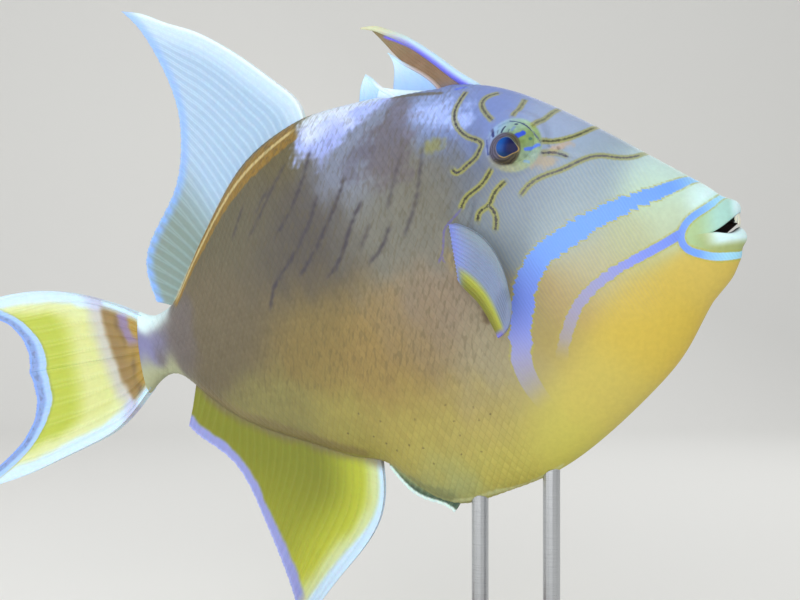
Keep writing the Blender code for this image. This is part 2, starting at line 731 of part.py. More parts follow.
def add_fins(parts, grown):
    """All fins, each cut clear of the body that it grows from."""
    half_gap = GAP / MM / 2
    fins = [
        *second_dorsal_fin(parts),
        anal_fin(parts),
        pelvic_fin(parts),
        tail_lobe("caudal_fin_upper_lobe", parts, UPPER_EDGE, UPPER_MARGIN, half_gap),
        tail_lobe("caudal_fin_lower_lobe", parts, LOWER_EDGE, LOWER_MARGIN, -half_gap),
        pectoral_fin("pectoral_fin_right", parts, -1),
        pectoral_fin("pectoral_fin_left", parts, 1),
        spiny_fin(
            "first_dorsal_fin", parts, SPINE_MEMBRANE,
            [(FIRST_SPINE, FIRST_SPINE_RADII), (SECOND_SPINE, SECOND_SPINE_RADII)],
        ),
        spiny_fin("third_dorsal_spine", parts, THIRD_MEMBRANE, [(THIRD_SPINE, THIRD_SPINE_RADII)]),
    ]
    for fin in fins:
        boolean(fin, "DIFFERENCE", grown)
        keep_largest(fin)
    return {fin.name: fin for fin in fins}


def add_teeth(parts, grown):
    """The chisel teeth behind the upper lip, fused at the root and cut clear of the gum."""
    edge = list(MOUTH_RINGS[2]) + [ROUND_MOUTH, ROUND_MOUTH]
    angles = TOOTH_ANGLES + [180 - angle for angle in reversed(TOOTH_ANGLES)]
    teeth = []
    for index, angle in enumerate(angles):
        top = TOOTH_TOP + index * TOOTH_STEP
        place = ring_point(edge, math.radians(angle)) + Vector((-TOOTH_SET_BACK, 0, 0))
        near = ring_point(edge, math.radians(angle - 5)) - ring_point(edge, math.radians(angle + 5))
        across = Vector((near.x, near.y, 0)).normalized()
        bm = bmesh.new()
        bmesh.ops.create_cone(
            bm, cap_ends=True, segments=4, radius1=0.5 * math.sqrt(2), radius2=0.41 * math.sqrt(2), depth=1
        )
        bmesh.ops.rotate(bm, verts=bm.verts, matrix=Matrix.Rotation(math.pi / 4, 3, "Z"))
        bmesh.ops.rotate(bm, verts=bm.verts, matrix=Matrix.Rotation(math.pi, 3, "X"))
        height = top + TOOTH_DROP
        bmesh.ops.scale(bm, verts=bm.verts, vec=(TOOTH_WIDTH, TOOTH_THICKNESS, height))
        turn = Matrix.Rotation(math.atan2(across.y, across.x), 3, "Z")
        bmesh.ops.rotate(bm, verts=bm.verts, matrix=turn)
        bmesh.ops.translate(bm, verts=bm.verts, vec=place + Vector((0, 0, top - height / 2)))
        teeth.append(from_bmesh("tooth", bm, parts))
    row = teeth.pop(0)
    row.name = "upper_teeth"
    join_all(row, teeth)
    boolean(row, "DIFFERENCE", grown)
    keep_largest(row)
    return row


def world_place(behind, above):
    """Where a point of the fish's middle plane is over the stand."""
    x = SNOUT_X - (behind * math.cos(PITCH) + above * math.sin(PITCH)) * MM
    z = SNOUT_Z + (-behind * math.sin(PITCH) + above * math.cos(PITCH)) * MM
    return x, z


def add_stand(parts, grown):
    """A bevelled base and two rods whose tops are shaped to the belly."""
    bm = bmesh.new()
    bmesh.ops.create_cube(bm, size=1)
    bmesh.ops.scale(bm, verts=bm.verts, vec=(BASE_LENGTH, BASE_WIDTH, BASE_HEIGHT))
    base = from_bmesh("stand_base", bm, parts)
    base.location.z = BASE_HEIGHT / 2
    bevel = base.modifiers.new("rounded_edges", "BEVEL")
    bevel.width = BASE_BEVEL
    bevel.segments = 3
    rods = {}
    for name, behind in ROD_STATIONS.items():
        x, top = world_place(behind, bottom_line(behind)[0])
        foot = BASE_HEIGHT + GAP
        profile = [
            (0, top + 0.008), (ROD_RADIUS, top + 0.008), (ROD_RADIUS, foot + COLLAR_HEIGHT),
            (COLLAR_RADIUS - 0.0015, foot + COLLAR_HEIGHT), (COLLAR_RADIUS, foot + COLLAR_HEIGHT - 0.0015),
            (COLLAR_RADIUS, foot), (0, foot),
        ]
        bm = bmesh.new()
        line = [bm.verts.new((radius, 0, height)) for radius, height in profile]
        for start, end in zip(line, line[1:]):
            bm.edges.new((start, end))
        mesh = bpy.data.meshes.new(name)
        bm.to_mesh(mesh)
        bm.free()
        rod = link(name, mesh, parts)
        screw = rod.modifiers.new("turned", "SCREW")
        screw.steps = 16
        screw.render_steps = 16
        screw.use_merge_vertices = True
        screw.merge_threshold = 0.0001
        rod.location.x = x
        apply_modifiers(rod)
        boolean(rod, "DIFFERENCE", grown)
        keep_largest(rod)
        rods[name] = rod
    return {"stand_base": base, **rods}


def main():
    for obj in list(bpy.data.objects):
        bpy.data.objects.remove(obj)
    scene = bpy.context.scene
    parts = bpy.data.collections.new("queen_triggerfish")
    cutters = bpy.data.collections.new("cutters")
    scene.collection.children.link(parts)
    scene.collection.children.link(cutters)

    grown = cutter(body_solid("body_grown", cutters, GAP))
    pieces = part_body(parts, cutters)
    eyes = add_eyes(pieces["head"], parts, cutters)
    carve_face(pieces["head"], pieces["trunk"], cutters)
    for piece in pieces.values():
        keep_largest(piece)
    fins = add_fins(parts, grown)
    teeth = add_teeth(parts, grown)

    pose = bpy.data.objects.new("fish_pose", None)
    scene.collection.objects.link(pose)
    pose.location = (SNOUT_X, 0, SNOUT_Z)
    pose.rotation_euler = (0, -PITCH, 0)
    fish = {**pieces, **eyes, **fins, "upper_teeth": teeth}
    for obj in [*fish.values(), grown]:
        obj.parent = pose
    bpy.context.view_layer.update()
    stand = add_stand(parts, grown)

    finish(pieces, "skin", (0.62, 0.58, 0.38), 0.45)
    finish(fins, "fin_membrane", (0.72, 0.74, 0.45), 0.5)
    finish(eyes, "eye", (0.05, 0.09, 0.22), 0.1)
    finish({"upper_teeth": teeth}, "tooth_ivory", (0.86, 0.84, 0.74), 0.35)
    finish({"stand_base": stand.pop("stand_base")}, "walnut", (0.16, 0.08, 0.04), 0.4)
    finish(stand, "brushed_steel", (0.6, 0.6, 0.6), 0.3, 1.0)


main()
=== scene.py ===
"""The looks of the queen triggerfish model: one scaled skin, finer fins, eyes, teeth and stand.

The fish is drawn in its own frame, in millimetres: behind the snout, out from its middle plane
(its right side is negative) and above the line from the snout to the root of the tail fin.
in_world() tilts these places head up over the stand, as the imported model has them.
"""

import math

import bpy
import numpy as np
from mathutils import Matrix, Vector


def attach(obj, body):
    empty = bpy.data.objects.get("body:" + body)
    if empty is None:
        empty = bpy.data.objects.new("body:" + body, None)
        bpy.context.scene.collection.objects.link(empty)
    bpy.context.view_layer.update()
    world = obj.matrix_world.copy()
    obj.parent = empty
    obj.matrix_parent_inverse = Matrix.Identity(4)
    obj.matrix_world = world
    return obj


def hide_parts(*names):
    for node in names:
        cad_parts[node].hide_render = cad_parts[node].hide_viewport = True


MM = 0.001

# Pose of the fish over the stand
PITCH = math.radians(9.2)
SNOUT_X = 0.150
SNOUT_Z = 0.224

# Camera: what it looks at, how far off and how far round towards the head, and its lens
TARGET = (-0.0138, 0.0, 0.1973)
DISTANCE = 0.5458
TURN = math.radians(24)
LENS = 50
SENSOR_WIDTH = 36
NEAREST = 0.01

# Body outline
TOP_LINE = [
    (17, 29), (36, 45), (72, 74), (100, 91), (120, 97), (150, 100), (186, 101), (203, 100),
    (220, 95.5), (247, 80.5), (265, 61), (283, 38), (296, 21), (304, 16.5), (312, 15), (321, 18.5),
]
BOTTOM_LINE = [
    (8, -15), (18, -24.5), (31, -42), (47, -57.5), (68, -73), (99, -90.5), (130, -99), (150, -101.5),
    (168, -93), (184, -79), (200, -74), (215, -68.5), (240, -58.5), (266, -46), (286, -30),
    (296, -21), (304, -18), (312, -20), (321, -26.5),
]
HALF_WIDTH = [
    (24, 12.8), (30, 15), (40, 18), (60, 22), (80, 25.5), (95, 27.5), (120, 31.5), (150, 32.5),
    (180, 31), (210, 27), (240, 21.5), (270, 14.5), (295, 9), (310, 7), (321, 5.5),
]
WIDEST_HEIGHT = [(24, 3.6), (60, 6), (120, 6), (200, 8), (260, 5), (300, 0), (321, -4)]
TOP_FULLNESS = [(17, 2.0), (60, 2.1), (150, 1.95), (321, 2.0)]
BOTTOM_FULLNESS = [(8, 2.0), (90, 1.75), (150, 1.5), (190, 1.7), (230, 1.8), (300, 2.1), (321, 2.1)]
FACE_START = 17
FACE_END = 80
CHEEK_LEAN = 13
CHIN_LEAN = -9
MOUTH_RINGS = [
    # top behind, above, side behind, above, half width, bottom behind, above, then how the ring
    # runs from side to top: bow of its front, lift of its upper half and sag of its lower one
    (9.5, 10.0, 13.5, 5.2, 5.0, 9.0, 3.0, 1.6, 1.2, 0.0),
    (6.0, 11.6, 14.3, 4.9, 7.6, 6.0, 3.2, 1.3, 1.5, 0.6),
    (3.6, 11.4, 13.8, 4.7, 8.8, 4.4, 4.4, 1.15, 1.7, 1.3),
    (1.9, 10.9, 13.2, 4.5, 9.6, 2.6, 5.2, 1.1, 1.7, 1.9),
    (0.4, 13.5, 13.4, 4.3, 10.6, -0.2, 1.4, 1.25, 1.45, 0.6),
    (2.3, 17.0, 17.0, 4.1, 11.6, 1.9, -3.0, 1.7, 1.1, 0.0),
    (7.0, 19.7, 23.6, 3.6, 12.4, 3.3, -7.0, 2.0, 1.0, 0.0),
    (12.0, 24.6, 27.5, 3.8, 13.9, 5.6, -11.2, 2.0, 1.0, 0.0),
]
THROAT = (2.6, 0.0, 7.0)
TAIL_END = (322.5, 0.0, -4.0)
ROUND_MOUTH = 2.0

# Depth in the mouth, counted in its rings: where the colour of the lips ends, where the painted
# shade of the dark inside begins, and the value that stands for the flank
LIPS_DEPTH = (6.7, 5.7)
INSIDE_SHADE_DEPTH = (3.6, 2.6)
FLANK_DEPTH = 20.0
# The height at which the upper lip meets the lower
LIPS_PART = 4.4

# The mouth's rings run on into the first rings of the flank, so that no crease shows
BLEND_STATIONS = [17, 27, 38]
BLEND_END = 1

# Mesh density of the skin, in rings of the mouth and in millimetres between those of the body
COLUMNS = 640
MOUTH_ROWS = 120
HEAD_STEP = 0.52
BODY_STEP = 0.68
HEAD_END = 112
SIDE_DENSITY = 0.2


def curve(points):
    """The natural cubic curve through (position, value, ...) points, as a function."""
    table = np.array(points, float)
    knots = table[:, 0]
    values = table[:, 1:]
    count = len(knots)
    steps = np.diff(knots)
    slopes = np.diff(values, axis=0) / steps[:, None]
    system = np.eye(count)
    right = np.zeros_like(values)
    for i in range(1, count - 1):
        system[i, i - 1] = steps[i - 1]
        system[i, i] = 2 * (steps[i - 1] + steps[i])
        system[i, i + 1] = steps[i]
        right[i] = 6 * (slopes[i] - slopes[i - 1])
    bends = np.linalg.solve(system, right)

    def value(position):
        at = np.atleast_1d(np.asarray(position, float))
        i = np.clip(np.searchsorted(knots, at) - 1, 0, count - 2)
        near = (at - knots[i])[:, None]
        far = (knots[i + 1] - at)[:, None]
        width = steps[i][:, None]
        found = (bends[i] * far**3 + bends[i + 1] * near**3) / (6 * width)
        found += (values[i] / width - bends[i] * width / 6) * far
        found += (values[i + 1] / width - bends[i + 1] * width / 6) * near
        return found[:, 0] if found.shape[1] == 1 else found

    return value


def line_through(points):
    """A smooth line through the points, as a function of the share of its length."""
    table = np.array(points, float)
    lengths = np.linalg.norm(np.diff(table, axis=0), axis=1)
    shares = np.concatenate([[0], np.cumsum(lengths)]) / lengths.sum()
    return curve(np.column_stack([shares, table]))


def smoothstep(value):
    share = np.clip(value, 0.0, 1.0)
    return share * share * (3 - 2 * share)


def ramp(value, start, end):
    """0 before start, 1 after end and smooth between, also where end comes first."""
    return smoothstep((value - start) / (end - start))


def linear(color):
    """A colour given as on a screen, as the linear one that a shader takes."""
    value = np.asarray(color, float)
    return np.where(value <= 0.04045, value / 12.92, ((value + 0.055) / 1.055) ** 2.4)


def mix(first, second, share):
    """Blends two colours, or an array of them, by an array of shares."""
    share = np.asarray(share)[..., None]
    return np.asarray(first) * (1 - share) + np.asarray(second) * share


def in_world(places):
    """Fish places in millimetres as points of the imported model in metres."""
    behind, out, above = np.moveaxis(np.asarray(places, float), -1, 0)
    x = SNOUT_X - (behind * math.cos(PITCH) + above * math.sin(PITCH)) * MM
    z = SNOUT_Z + (-behind * math.sin(PITCH) + above * math.cos(PITCH)) * MM
    return np.stack([x, out * MM, z], axis=-1)


def ripple(places, size, seed):
    """Smooth noise of about -1 to 1 whose waves are about this size in millimetres."""
    draw = np.random.default_rng(seed)
    count = 10
    ways = draw.normal(size=(count, 3))
    ways /= np.linalg.norm(ways, axis=1, keepdims=True)
    ways *= 2 * math.pi / (size * draw.uniform(0.7, 1.6, (count, 1)))
    phases = draw.uniform(0, 2 * math.pi, count)
    return np.sin(places @ ways.T + phases).sum(axis=1) / math.sqrt(2 * count)


def blend_spots(first, second, spots):
    """The colour at each pair of coordinates, blended from (first, second, spread, colour) spots."""
    total = np.zeros(len(first))
    colors = np.zeros((len(first), 3))
    for at_first, at_second, spread, color in spots:
        gap = ((first - at_first) ** 2 + (second - at_second) ** 2) / (2 * spread**2)
        weight = np.exp(-gap) + 1e-4 / (1 + gap * gap)
        total += weight
        colors += weight[:, None] * color
    return colors / total[:, None]


def nearest_on(line, places):
    """For each place: its distance from a line, how far along that is and on which segment."""
    best = np.full(len(places), np.inf)
    along = np.zeros(len(places))
    segment = np.zeros(len(places), int)
    before = 0.0
    for i, (start, end) in enumerate(zip(line, line[1:])):
        way = end - start
        long = np.linalg.norm(way)
        share = np.clip((places - start) @ way / long**2, 0, 1)
        gap = ((places - start - share[:, None] * way) ** 2).sum(axis=1)
        closer = gap < best
        best[closer] = gap[closer]
        along[closer] = before + share[closer] * long
        segment[closer] = i
        before += long
    return np.sqrt(best), along, segment


# Meshes


def new_piece(name, places, faces, replaced, corner_uv=None):
    """A piece of the fish from places and faces, riding on the model and standing for CAD nodes."""
    mesh = bpy.data.meshes.new(name)
    mesh.from_pydata(in_world(places).tolist(), [], faces)
    mesh.validate()
    mesh.shade_smooth()
    if corner_uv is not None:
        layer = mesh.uv_layers.new(name="OFBake")
        layer.data.foreach_set("uv", np.asarray(corner_uv, np.float32).ravel())
    piece = bpy.data.objects.new(name, mesh)
    bpy.context.scene.collection.objects.link(piece)
    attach(piece, "root")
    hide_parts(*replaced)
    return piece


def add_vector(piece, name, values):
    attribute = piece.data.attributes.new(name, "FLOAT_VECTOR", "POINT")
    attribute.data.foreach_set("vector", np.asarray(values, np.float32).ravel())


def add_color(piece, name, colors):
    """Colours given as on a screen, one for each point."""
    shades = np.ones((len(colors), 4), np.float32)
    shades[:, :3] = linear(np.clip(colors, 0, 1))
    attribute = piece.data.attributes.new(name, "FLOAT_COLOR", "POINT")
    attribute.data.foreach_set("color", shades.ravel())


# Body surface

top_line = curve(TOP_LINE)
bottom_line = curve(BOTTOM_LINE)
half_width = curve(HALF_WIDTH)
widest_height = curve(WIDEST_HEIGHT)
top_fullness = curve(TOP_FULLNESS)
bottom_fullness = curve(BOTTOM_FULLNESS)


def body_rings(behind):
    """Rings of the body at these stations, in the columns of the mouth's and how full they are."""
    behind = np.asarray(behind, float)
    lean = 1 - smoothstep((behind - FACE_START) / (FACE_END - FACE_START))
    side = behind + CHEEK_LEAN * lean
    low = behind + CHIN_LEAN * lean
    plain = np.ones(len(behind))
    return np.column_stack([
        behind, top_line(behind), side, widest_height(side), half_width(side), low, bottom_line(low),
        2 * plain, plain, 0 * plain, top_fullness(behind), bottom_fullness(low),
    ])


def skin_rings():
    """All rings from the back of the mouth to the tail, and the share of the mouth each one is in."""
    mouth = [list(ring) + [ROUND_MOUTH, ROUND_MOUTH] for ring in MOUTH_RINGS]
    flank = body_rings(BLEND_STATIONS)
    knots = np.vstack([mouth, flank])
    lengths = np.linalg.norm(np.diff(knots, axis=0), axis=1)
    shares = np.concatenate([[0], np.cumsum(lengths)]) / lengths.sum()
    rings = curve(np.column_stack([shares, knots]))
    last = shares[len(mouth) + BLEND_END]
    in_mouth = np.linspace(0, last, MOUTH_ROWS + 1)[:-1]
    start = BLEND_STATIONS[BLEND_END]
    head = np.linspace(start, HEAD_END, round((HEAD_END - start) / HEAD_STEP) + 1)
    end = TOP_LINE[-1][0]
    body = np.linspace(HEAD_END, end, round((end - HEAD_END) / BODY_STEP) + 1)[1:]
    flank = body_rings(np.concatenate([head, body]))
    # Counted in mouth rings: 0 in the throat, 4 at the front of the lips, 8 on the face
    depth = np.interp(in_mouth, shares, np.arange(len(shares)))
    return np.vstack([rings(in_mouth), flank]), np.concatenate([depth, np.full(len(flank), FLANK_DEPTH)])


def ring_angles():
    """Angles round a ring from the left side over the back, closer together on the flanks."""
    even = 2 * math.pi * np.arange(COLUMNS) / COLUMNS
    return even - SIDE_DENSITY * np.sin(2 * even)


def ring_points(rings, angles):
    """Places on the rings at the angles, as an array of rings by angles."""
    columns = rings.T[:, :, None]
    top_s, top_h, side_s, side_h, side_y, low_s, low_h, bow, lift, sag, top_n, low_n = columns
    across, up = np.cos(angles), np.sin(angles)
    upper = up >= 0
    power = 2 / np.where(upper, top_n, low_n)
    end_s = np.where(upper, top_s, low_s)
    end_h = np.where(upper, top_h, low_h)
    rise = np.maximum(np.abs(up), 1e-9)
    behind = side_s + (end_s - side_s) * rise**bow
    above = side_h + (end_h - side_h) * rise ** (power * np.where(upper, lift, 1.0))
    above = above - np.where(upper, 0, sag) * (2 * up * across) ** 2
    out = np.sign(across) * np.abs(across) ** power * side_y
    return np.stack([behind, out, above], axis=2)


def outward(grid):
    """The surface's outward directions over a grid of rings that close on themselves."""
    along = np.gradient(grid, axis=0)
    around = (np.roll(grid, -1, axis=1) - np.roll(grid, 1, axis=1)) / 2
    normals = np.cross(around, along)
    return normals / np.maximum(np.linalg.norm(normals, axis=2, keepdims=True), 1e-9)


def height_along_ring(grid):
    """Arc length from the side line up over the back (positive) or down to the belly."""
    quarter = COLUMNS // 4
    steps = np.linalg.norm(np.roll(grid, -1, axis=1) - grid, axis=2)
    zero = np.zeros((len(grid), 1))
    up = np.hstack([zero, np.cumsum(steps[:, :quarter], axis=1)])
    down = np.hstack([zero, np.cumsum(steps[:, :-quarter - 1:-1], axis=1)])
    return np.hstack([up, up[:, -2:0:-1], -down, -down[:, -2:0:-1]])


def grid_faces(rows, columns, closed=True):
    """Quads over a grid of points, whose columns close on themselves or not."""
    last = columns if closed else columns - 1
    i, k = np.meshgrid(np.arange(rows - 1), np.arange(last), indexing="ij")
    after = (k + 1) % columns
    corners = [i * columns + k, (i + 1) * columns + k, (i + 1) * columns + after, i * columns + after]
    return np.stack(corners, axis=-1).reshape(-1, 4)


def rim_of(columns, rows):
    """The points round the border of a grid, in order."""
    rim = [i * rows for i in range(columns)]
    rim += [(columns - 1) * rows + j for j in range(1, rows)]
    rim += [i * rows + rows - 1 for i in range(columns - 2, -1, -1)]
    rim += [j for j in range(rows - 2, 0, -1)]
    return np.array(rim)


def rim_faces(rim, count):
    """Quads that join the border of one sheet to that of the next, whose points come after it."""
    after = np.roll(rim, -1)
    return np.column_stack([rim, after, after + count, rim + count])


# Relief of the skin

# Rhombic scales: how far apart they are along the flank and up it, how high they stand, the share
# of each that its seam takes up, and where they begin and end
SCALE_LONG = 3.4
SCALE_HIGH = 5.9
SCALE_RELIEF = 0.16
SCALE_SEAM = 0.3
SCALES_FROM = (98, 116)
SCALES_TO = (318, 306)

EYE_BEHIND = 91.0
EYE_ABOVE = 59.5
EYE_RADIUS = 12.0
EYE_DEPTH = 7.2
EYE_PROUD = 4.2
EYE_TILT_UP = math.radians(15)
EYE_TURN_FORWARD = math.radians(8)
# How far out or in from the flank the skin round an eye may lie
EYE_REACH = 16
# Around the eye: distance from its axis and height over the flank at the eye
LID_PROFILE = [
    (0, 2.0), (6, 2.0), (9.6, 0.3), (10.3, 0.8), (11, 1.15), (11.8, 1.2), (13, 0.95), (14.5, 0.45),
    (16, -0.1), (17, -0.6),
]
LID_FULL = 14.5
LID_END = 18.5

NOSTRILS = [(74.5, 54.5), (70.5, 53.0)]
NOSTRIL_RADIUS = 0.8
NOSTRIL_DEPTH = 1.6
NOSTRIL_RIM = 0.3
GROOVE = [(80, 52.8), (71, 50.2), (62, 46.5)]
GROOVE_WIDTH = 1.5
GROOVE_DEPTH = 0.6
GILL_SLIT = [(110, 35.5), (112.3, 29), (114.6, 20), (116, 12)]
SLIT_WIDTH = 1.1
SLIT_DEPTH = 0.6
PECTORAL_ROOT = [(125, 28), (124.5, 17), (123, 5)]
ROOT_WIDTH = 5.0
ROOT_BULGE = 1.3
# Hollow of the back that the first dorsal fin folds into
FIN_HOLLOW_FROM = (122, 130)
FIN_HOLLOW_TO = (162, 152)
FIN_HOLLOW_DEPTH = 3.4
FIN_HOLLOW_WIDTH = 5.0
# Distance between the points of a line that is laid on the skin
LINE_STEP = 0.7


def folded(places):
    """Places with both flanks laid on one, as the markings of the two sides are alike."""
    return np.column_stack([places[:, 0], np.abs(places[:, 1]), places[:, 2]])


def place_on_flank(grid, points):
    """Where the points (behind, above) lie on the fish's right side, as full places."""
    side = grid[grid[:, :, 1] < 0]
    found = []
    for behind, above in points:
        gap = (side[:, 0] - behind) ** 2 + (side[:, 2] - above) ** 2
        found.append(side[np.argmin(gap)] * (1, -1, 1))
    return np.array(found)


class Near:
    """What is near a line on the skin: distance, how far along the line and on which side."""

    def __init__(self, grid, places, points, reach):
        on_skin = place_on_flank(grid, points)
        rough = np.linalg.norm(np.diff(on_skin, axis=0), axis=1).sum()
        line = line_through(on_skin)(np.linspace(0, 1, max(round(rough / LINE_STEP), 2) + 1))
        ways = np.diff(line, axis=0)
        self.length = np.linalg.norm(ways, axis=1).sum()
        low, high = line.min(axis=0) - reach, line.max(axis=0) + reach
        places = folded(places)
        self.chosen = np.flatnonzero(np.all((places > low) & (places < high), axis=1))
        near = places[self.chosen]
        distance, self.along, segment = nearest_on(line, near)
        self.distance = np.minimum(distance, reach)
        way = ways[segment]
        offset = near - line[segment]
        self.side = np.where(way[:, 0] * offset[:, 2] < way[:, 2] * offset[:, 0], -1.0, 1.0)
        flat = way[:, [0, 2]]
        self.slope = flat / np.maximum(np.linalg.norm(flat, axis=1, keepdims=True), 1e-6)

    def from_end(self):
        """How far each place is from the nearer end of the line, measured along it."""
        return np.minimum(self.along, self.length - self.along)

    def value(self, values):
        """A value given at even steps along the line, read beside each place."""
        return np.interp(self.along / self.length, np.linspace(0, 1, len(values)), values)

    def paint(self, colors, color, share):
        """Blends a colour into those of the places near the line."""
        colors[self.chosen] = mix(colors[self.chosen], color, share)


def eye_frame(grid, side):
    """The point of the flank under the eye and the eye's axes: forward, up and outward."""
    centre = place_on_flank(grid, [(EYE_BEHIND, EYE_ABOVE)])[0] * (1, side, 1)
    # Behind grows away from the snout, so the forward turn of the axis is negative here
    out = np.array([
        -math.sin(EYE_TURN_FORWARD) * math.cos(EYE_TILT_UP),
        side * math.cos(EYE_TURN_FORWARD) * math.cos(EYE_TILT_UP),
        math.sin(EYE_TILT_UP),
    ])
    forward = np.array([-1.0, 0, 0]) - out * (out @ (-1.0, 0, 0))
    forward /= np.linalg.norm(forward)
    up = np.cross(out, forward)
    up *= np.sign(up[2])
    return centre, forward, up, out


def from_eye(grid, places, side):
    """How far places lie forward, up and out from an eye, and which of them are near it."""
    centre, *axes = eye_frame(grid, side)
    ahead, high, height = ((places - centre) @ axis for axis in axes)
    return ahead, high, height, (np.abs(height) < EYE_REACH) & (places[:, 1] * side > 0)


def raise_lids(grid, places):
    """Lifts the skin round each eye into its turret and lid, and sinks it under the eyeball."""
    for side in (-1, 1):
        out = eye_frame(grid, side)[-1]
        ahead, high, height, near = from_eye(grid, places, side)
        radius = np.hypot(ahead, high)
        near &= radius < LID_END
        share = 1 - ramp(radius[near], LID_FULL, LID_END)
        target = np.interp(radius[near], *np.transpose(LID_PROFILE))
        places[near] += ((target - height[near]) * share)[:, None] * out


def relief(grid, places, tiles):
    """How far the skin stands out or in at each place, in millimetres."""
    u, v = tiles[:, 0], tiles[:, 1]
    from_groove = [smoothstep(np.abs(value - np.round(value)) / SCALE_SEAM) for value in (u, v)]
    height = SCALE_RELIEF * tiles[:, 2] * (from_groove[0] * from_groove[1] - 0.6)
    hollows = ((GROOVE, GROOVE_WIDTH, GROOVE_DEPTH), (GILL_SLIT, SLIT_WIDTH, SLIT_DEPTH))
    for points, width, depth in hollows:
        near = Near(grid, places, points, 3 * width)
        taper = 0.35 + 0.65 * smoothstep(near.from_end() / (2 * width))
        height[near.chosen] -= depth * taper * np.exp(-1.6 * (near.distance / width) ** 2)
    for behind, above in NOSTRILS:
        centre = place_on_flank(grid, [(behind, above)])[0]
        gap = np.linalg.norm(folded(places) - centre, axis=1) / NOSTRIL_RADIUS
        height -= NOSTRIL_DEPTH * np.exp(-1.8 * gap**2)
        height += NOSTRIL_RIM * np.exp(-3 * (gap - 1.7) ** 2)
    hollow = ramp(places[:, 0], *FIN_HOLLOW_FROM) * ramp(places[:, 0], *FIN_HOLLOW_TO)
    hollow *= (places[:, 2] > 0) * np.exp(-((places[:, 1] / FIN_HOLLOW_WIDTH) ** 2))
    height -= FIN_HOLLOW_DEPTH * hollow
    near = Near(grid, places, PECTORAL_ROOT, 2 * ROOT_WIDTH)
    height[near.chosen] += ROOT_BULGE * np.exp(-1.5 * (near.distance / ROOT_WIDTH) ** 2)
    return height


# Colours of the skin

# Ground colours as (behind, above, spread, colour on a screen)
GROUND = {
    "snout tip": (10, 20, 6, (0.86, 0.99, 1.00)),
    "snout top": (30, 36, 9, (0.78, 0.90, 0.91)),
    "snout side": (34, 26, 8, (0.75, 0.85, 0.72)),
    "forehead": (70, 64, 12, (0.60, 0.67, 0.80)),
    "before the eye": (58, 42, 11, (0.58, 0.66, 0.72)),
    "nape": (106, 74, 13, (0.45, 0.53, 0.77)),
    "behind the eye": (108, 50, 10, (0.38, 0.42, 0.50)),
    "under the eye": (82, 36, 10, (0.50, 0.56, 0.64)),
    "cheek": (72, 22, 10, (0.63, 0.70, 0.73)),
    "gill": (100, 26, 10, (0.47, 0.53, 0.58)),
    "behind the lips": (30, 12, 6, (0.75, 0.82, 0.71)),
    "between the bands": (45, 8, 8, (0.71, 0.74, 0.58)),
    "lower cheek": (64, -3, 8, (0.72, 0.71, 0.57)),
    "cheek corner": (76, -14, 8, (0.70, 0.61, 0.39)),
    "chin": (20, -16, 7, (0.81, 0.72, 0.34)),
    "throat": (44, -32, 14, (0.81, 0.71, 0.28)),
    "lower throat": (70, -58, 14, (0.79, 0.73, 0.36)),
    "belly front": (96, -78, 14, (0.78, 0.76, 0.35)),
    "belly low": (122, -86, 13, (0.74, 0.71, 0.34)),
    "belly edge": (150, -98, 12, (0.64, 0.67, 0.45)),
    "before the pectoral": (90, -30, 9, (0.67, 0.60, 0.34)),
    "under the pectoral": (112, -36, 13, (0.61, 0.58, 0.48)),
    "chest": (120, -62, 14, (0.67, 0.61, 0.37)),
    "behind the pectoral": (140, -14, 14, (0.54, 0.48, 0.41)),
    "middle": (164, -30, 18, (0.58, 0.49, 0.28)),
    "low middle": (160, -66, 14, (0.68, 0.64, 0.33)),
    "rear low": (196, -58, 12, (0.62, 0.59, 0.31)),
    "anal base": (232, -50, 13, (0.53, 0.51, 0.30)),
    "rear middle": (206, -12, 15, (0.52, 0.45, 0.25)),
    "rear flank": (246, 6, 16, (0.41, 0.37, 0.28)),
    "rear upper": (238, 48, 15, (0.38, 0.36, 0.27)),
    "dark flank": (206, 34, 20, (0.30, 0.28, 0.26)),
    "upper middle": (150, 36, 16, (0.45, 0.45, 0.41)),
    "shoulder": (130, 46, 12, (0.43, 0.42, 0.37)),
    "back": (170, 66, 13, (0.50, 0.54, 0.64)),
    "nape edge": (128, 80, 9, (0.48, 0.55, 0.72)),
    "behind the white": (214, 80, 10, (0.38, 0.35, 0.23)),
    "tail root": (296, 2, 8, (0.40, 0.37, 0.36)),
    "tail root top": (307, 14, 5, (0.88, 0.99, 1.00)),
    "tail root side": (311, -3, 5, (0.48, 0.48, 0.66)),
    "tail root low": (308, -18, 6, (0.66, 0.68, 0.54)),
}
# The blend of ground colours is drawn from places pushed about by this much, so that it isn't even
GROUND_SHIFT = 3.0
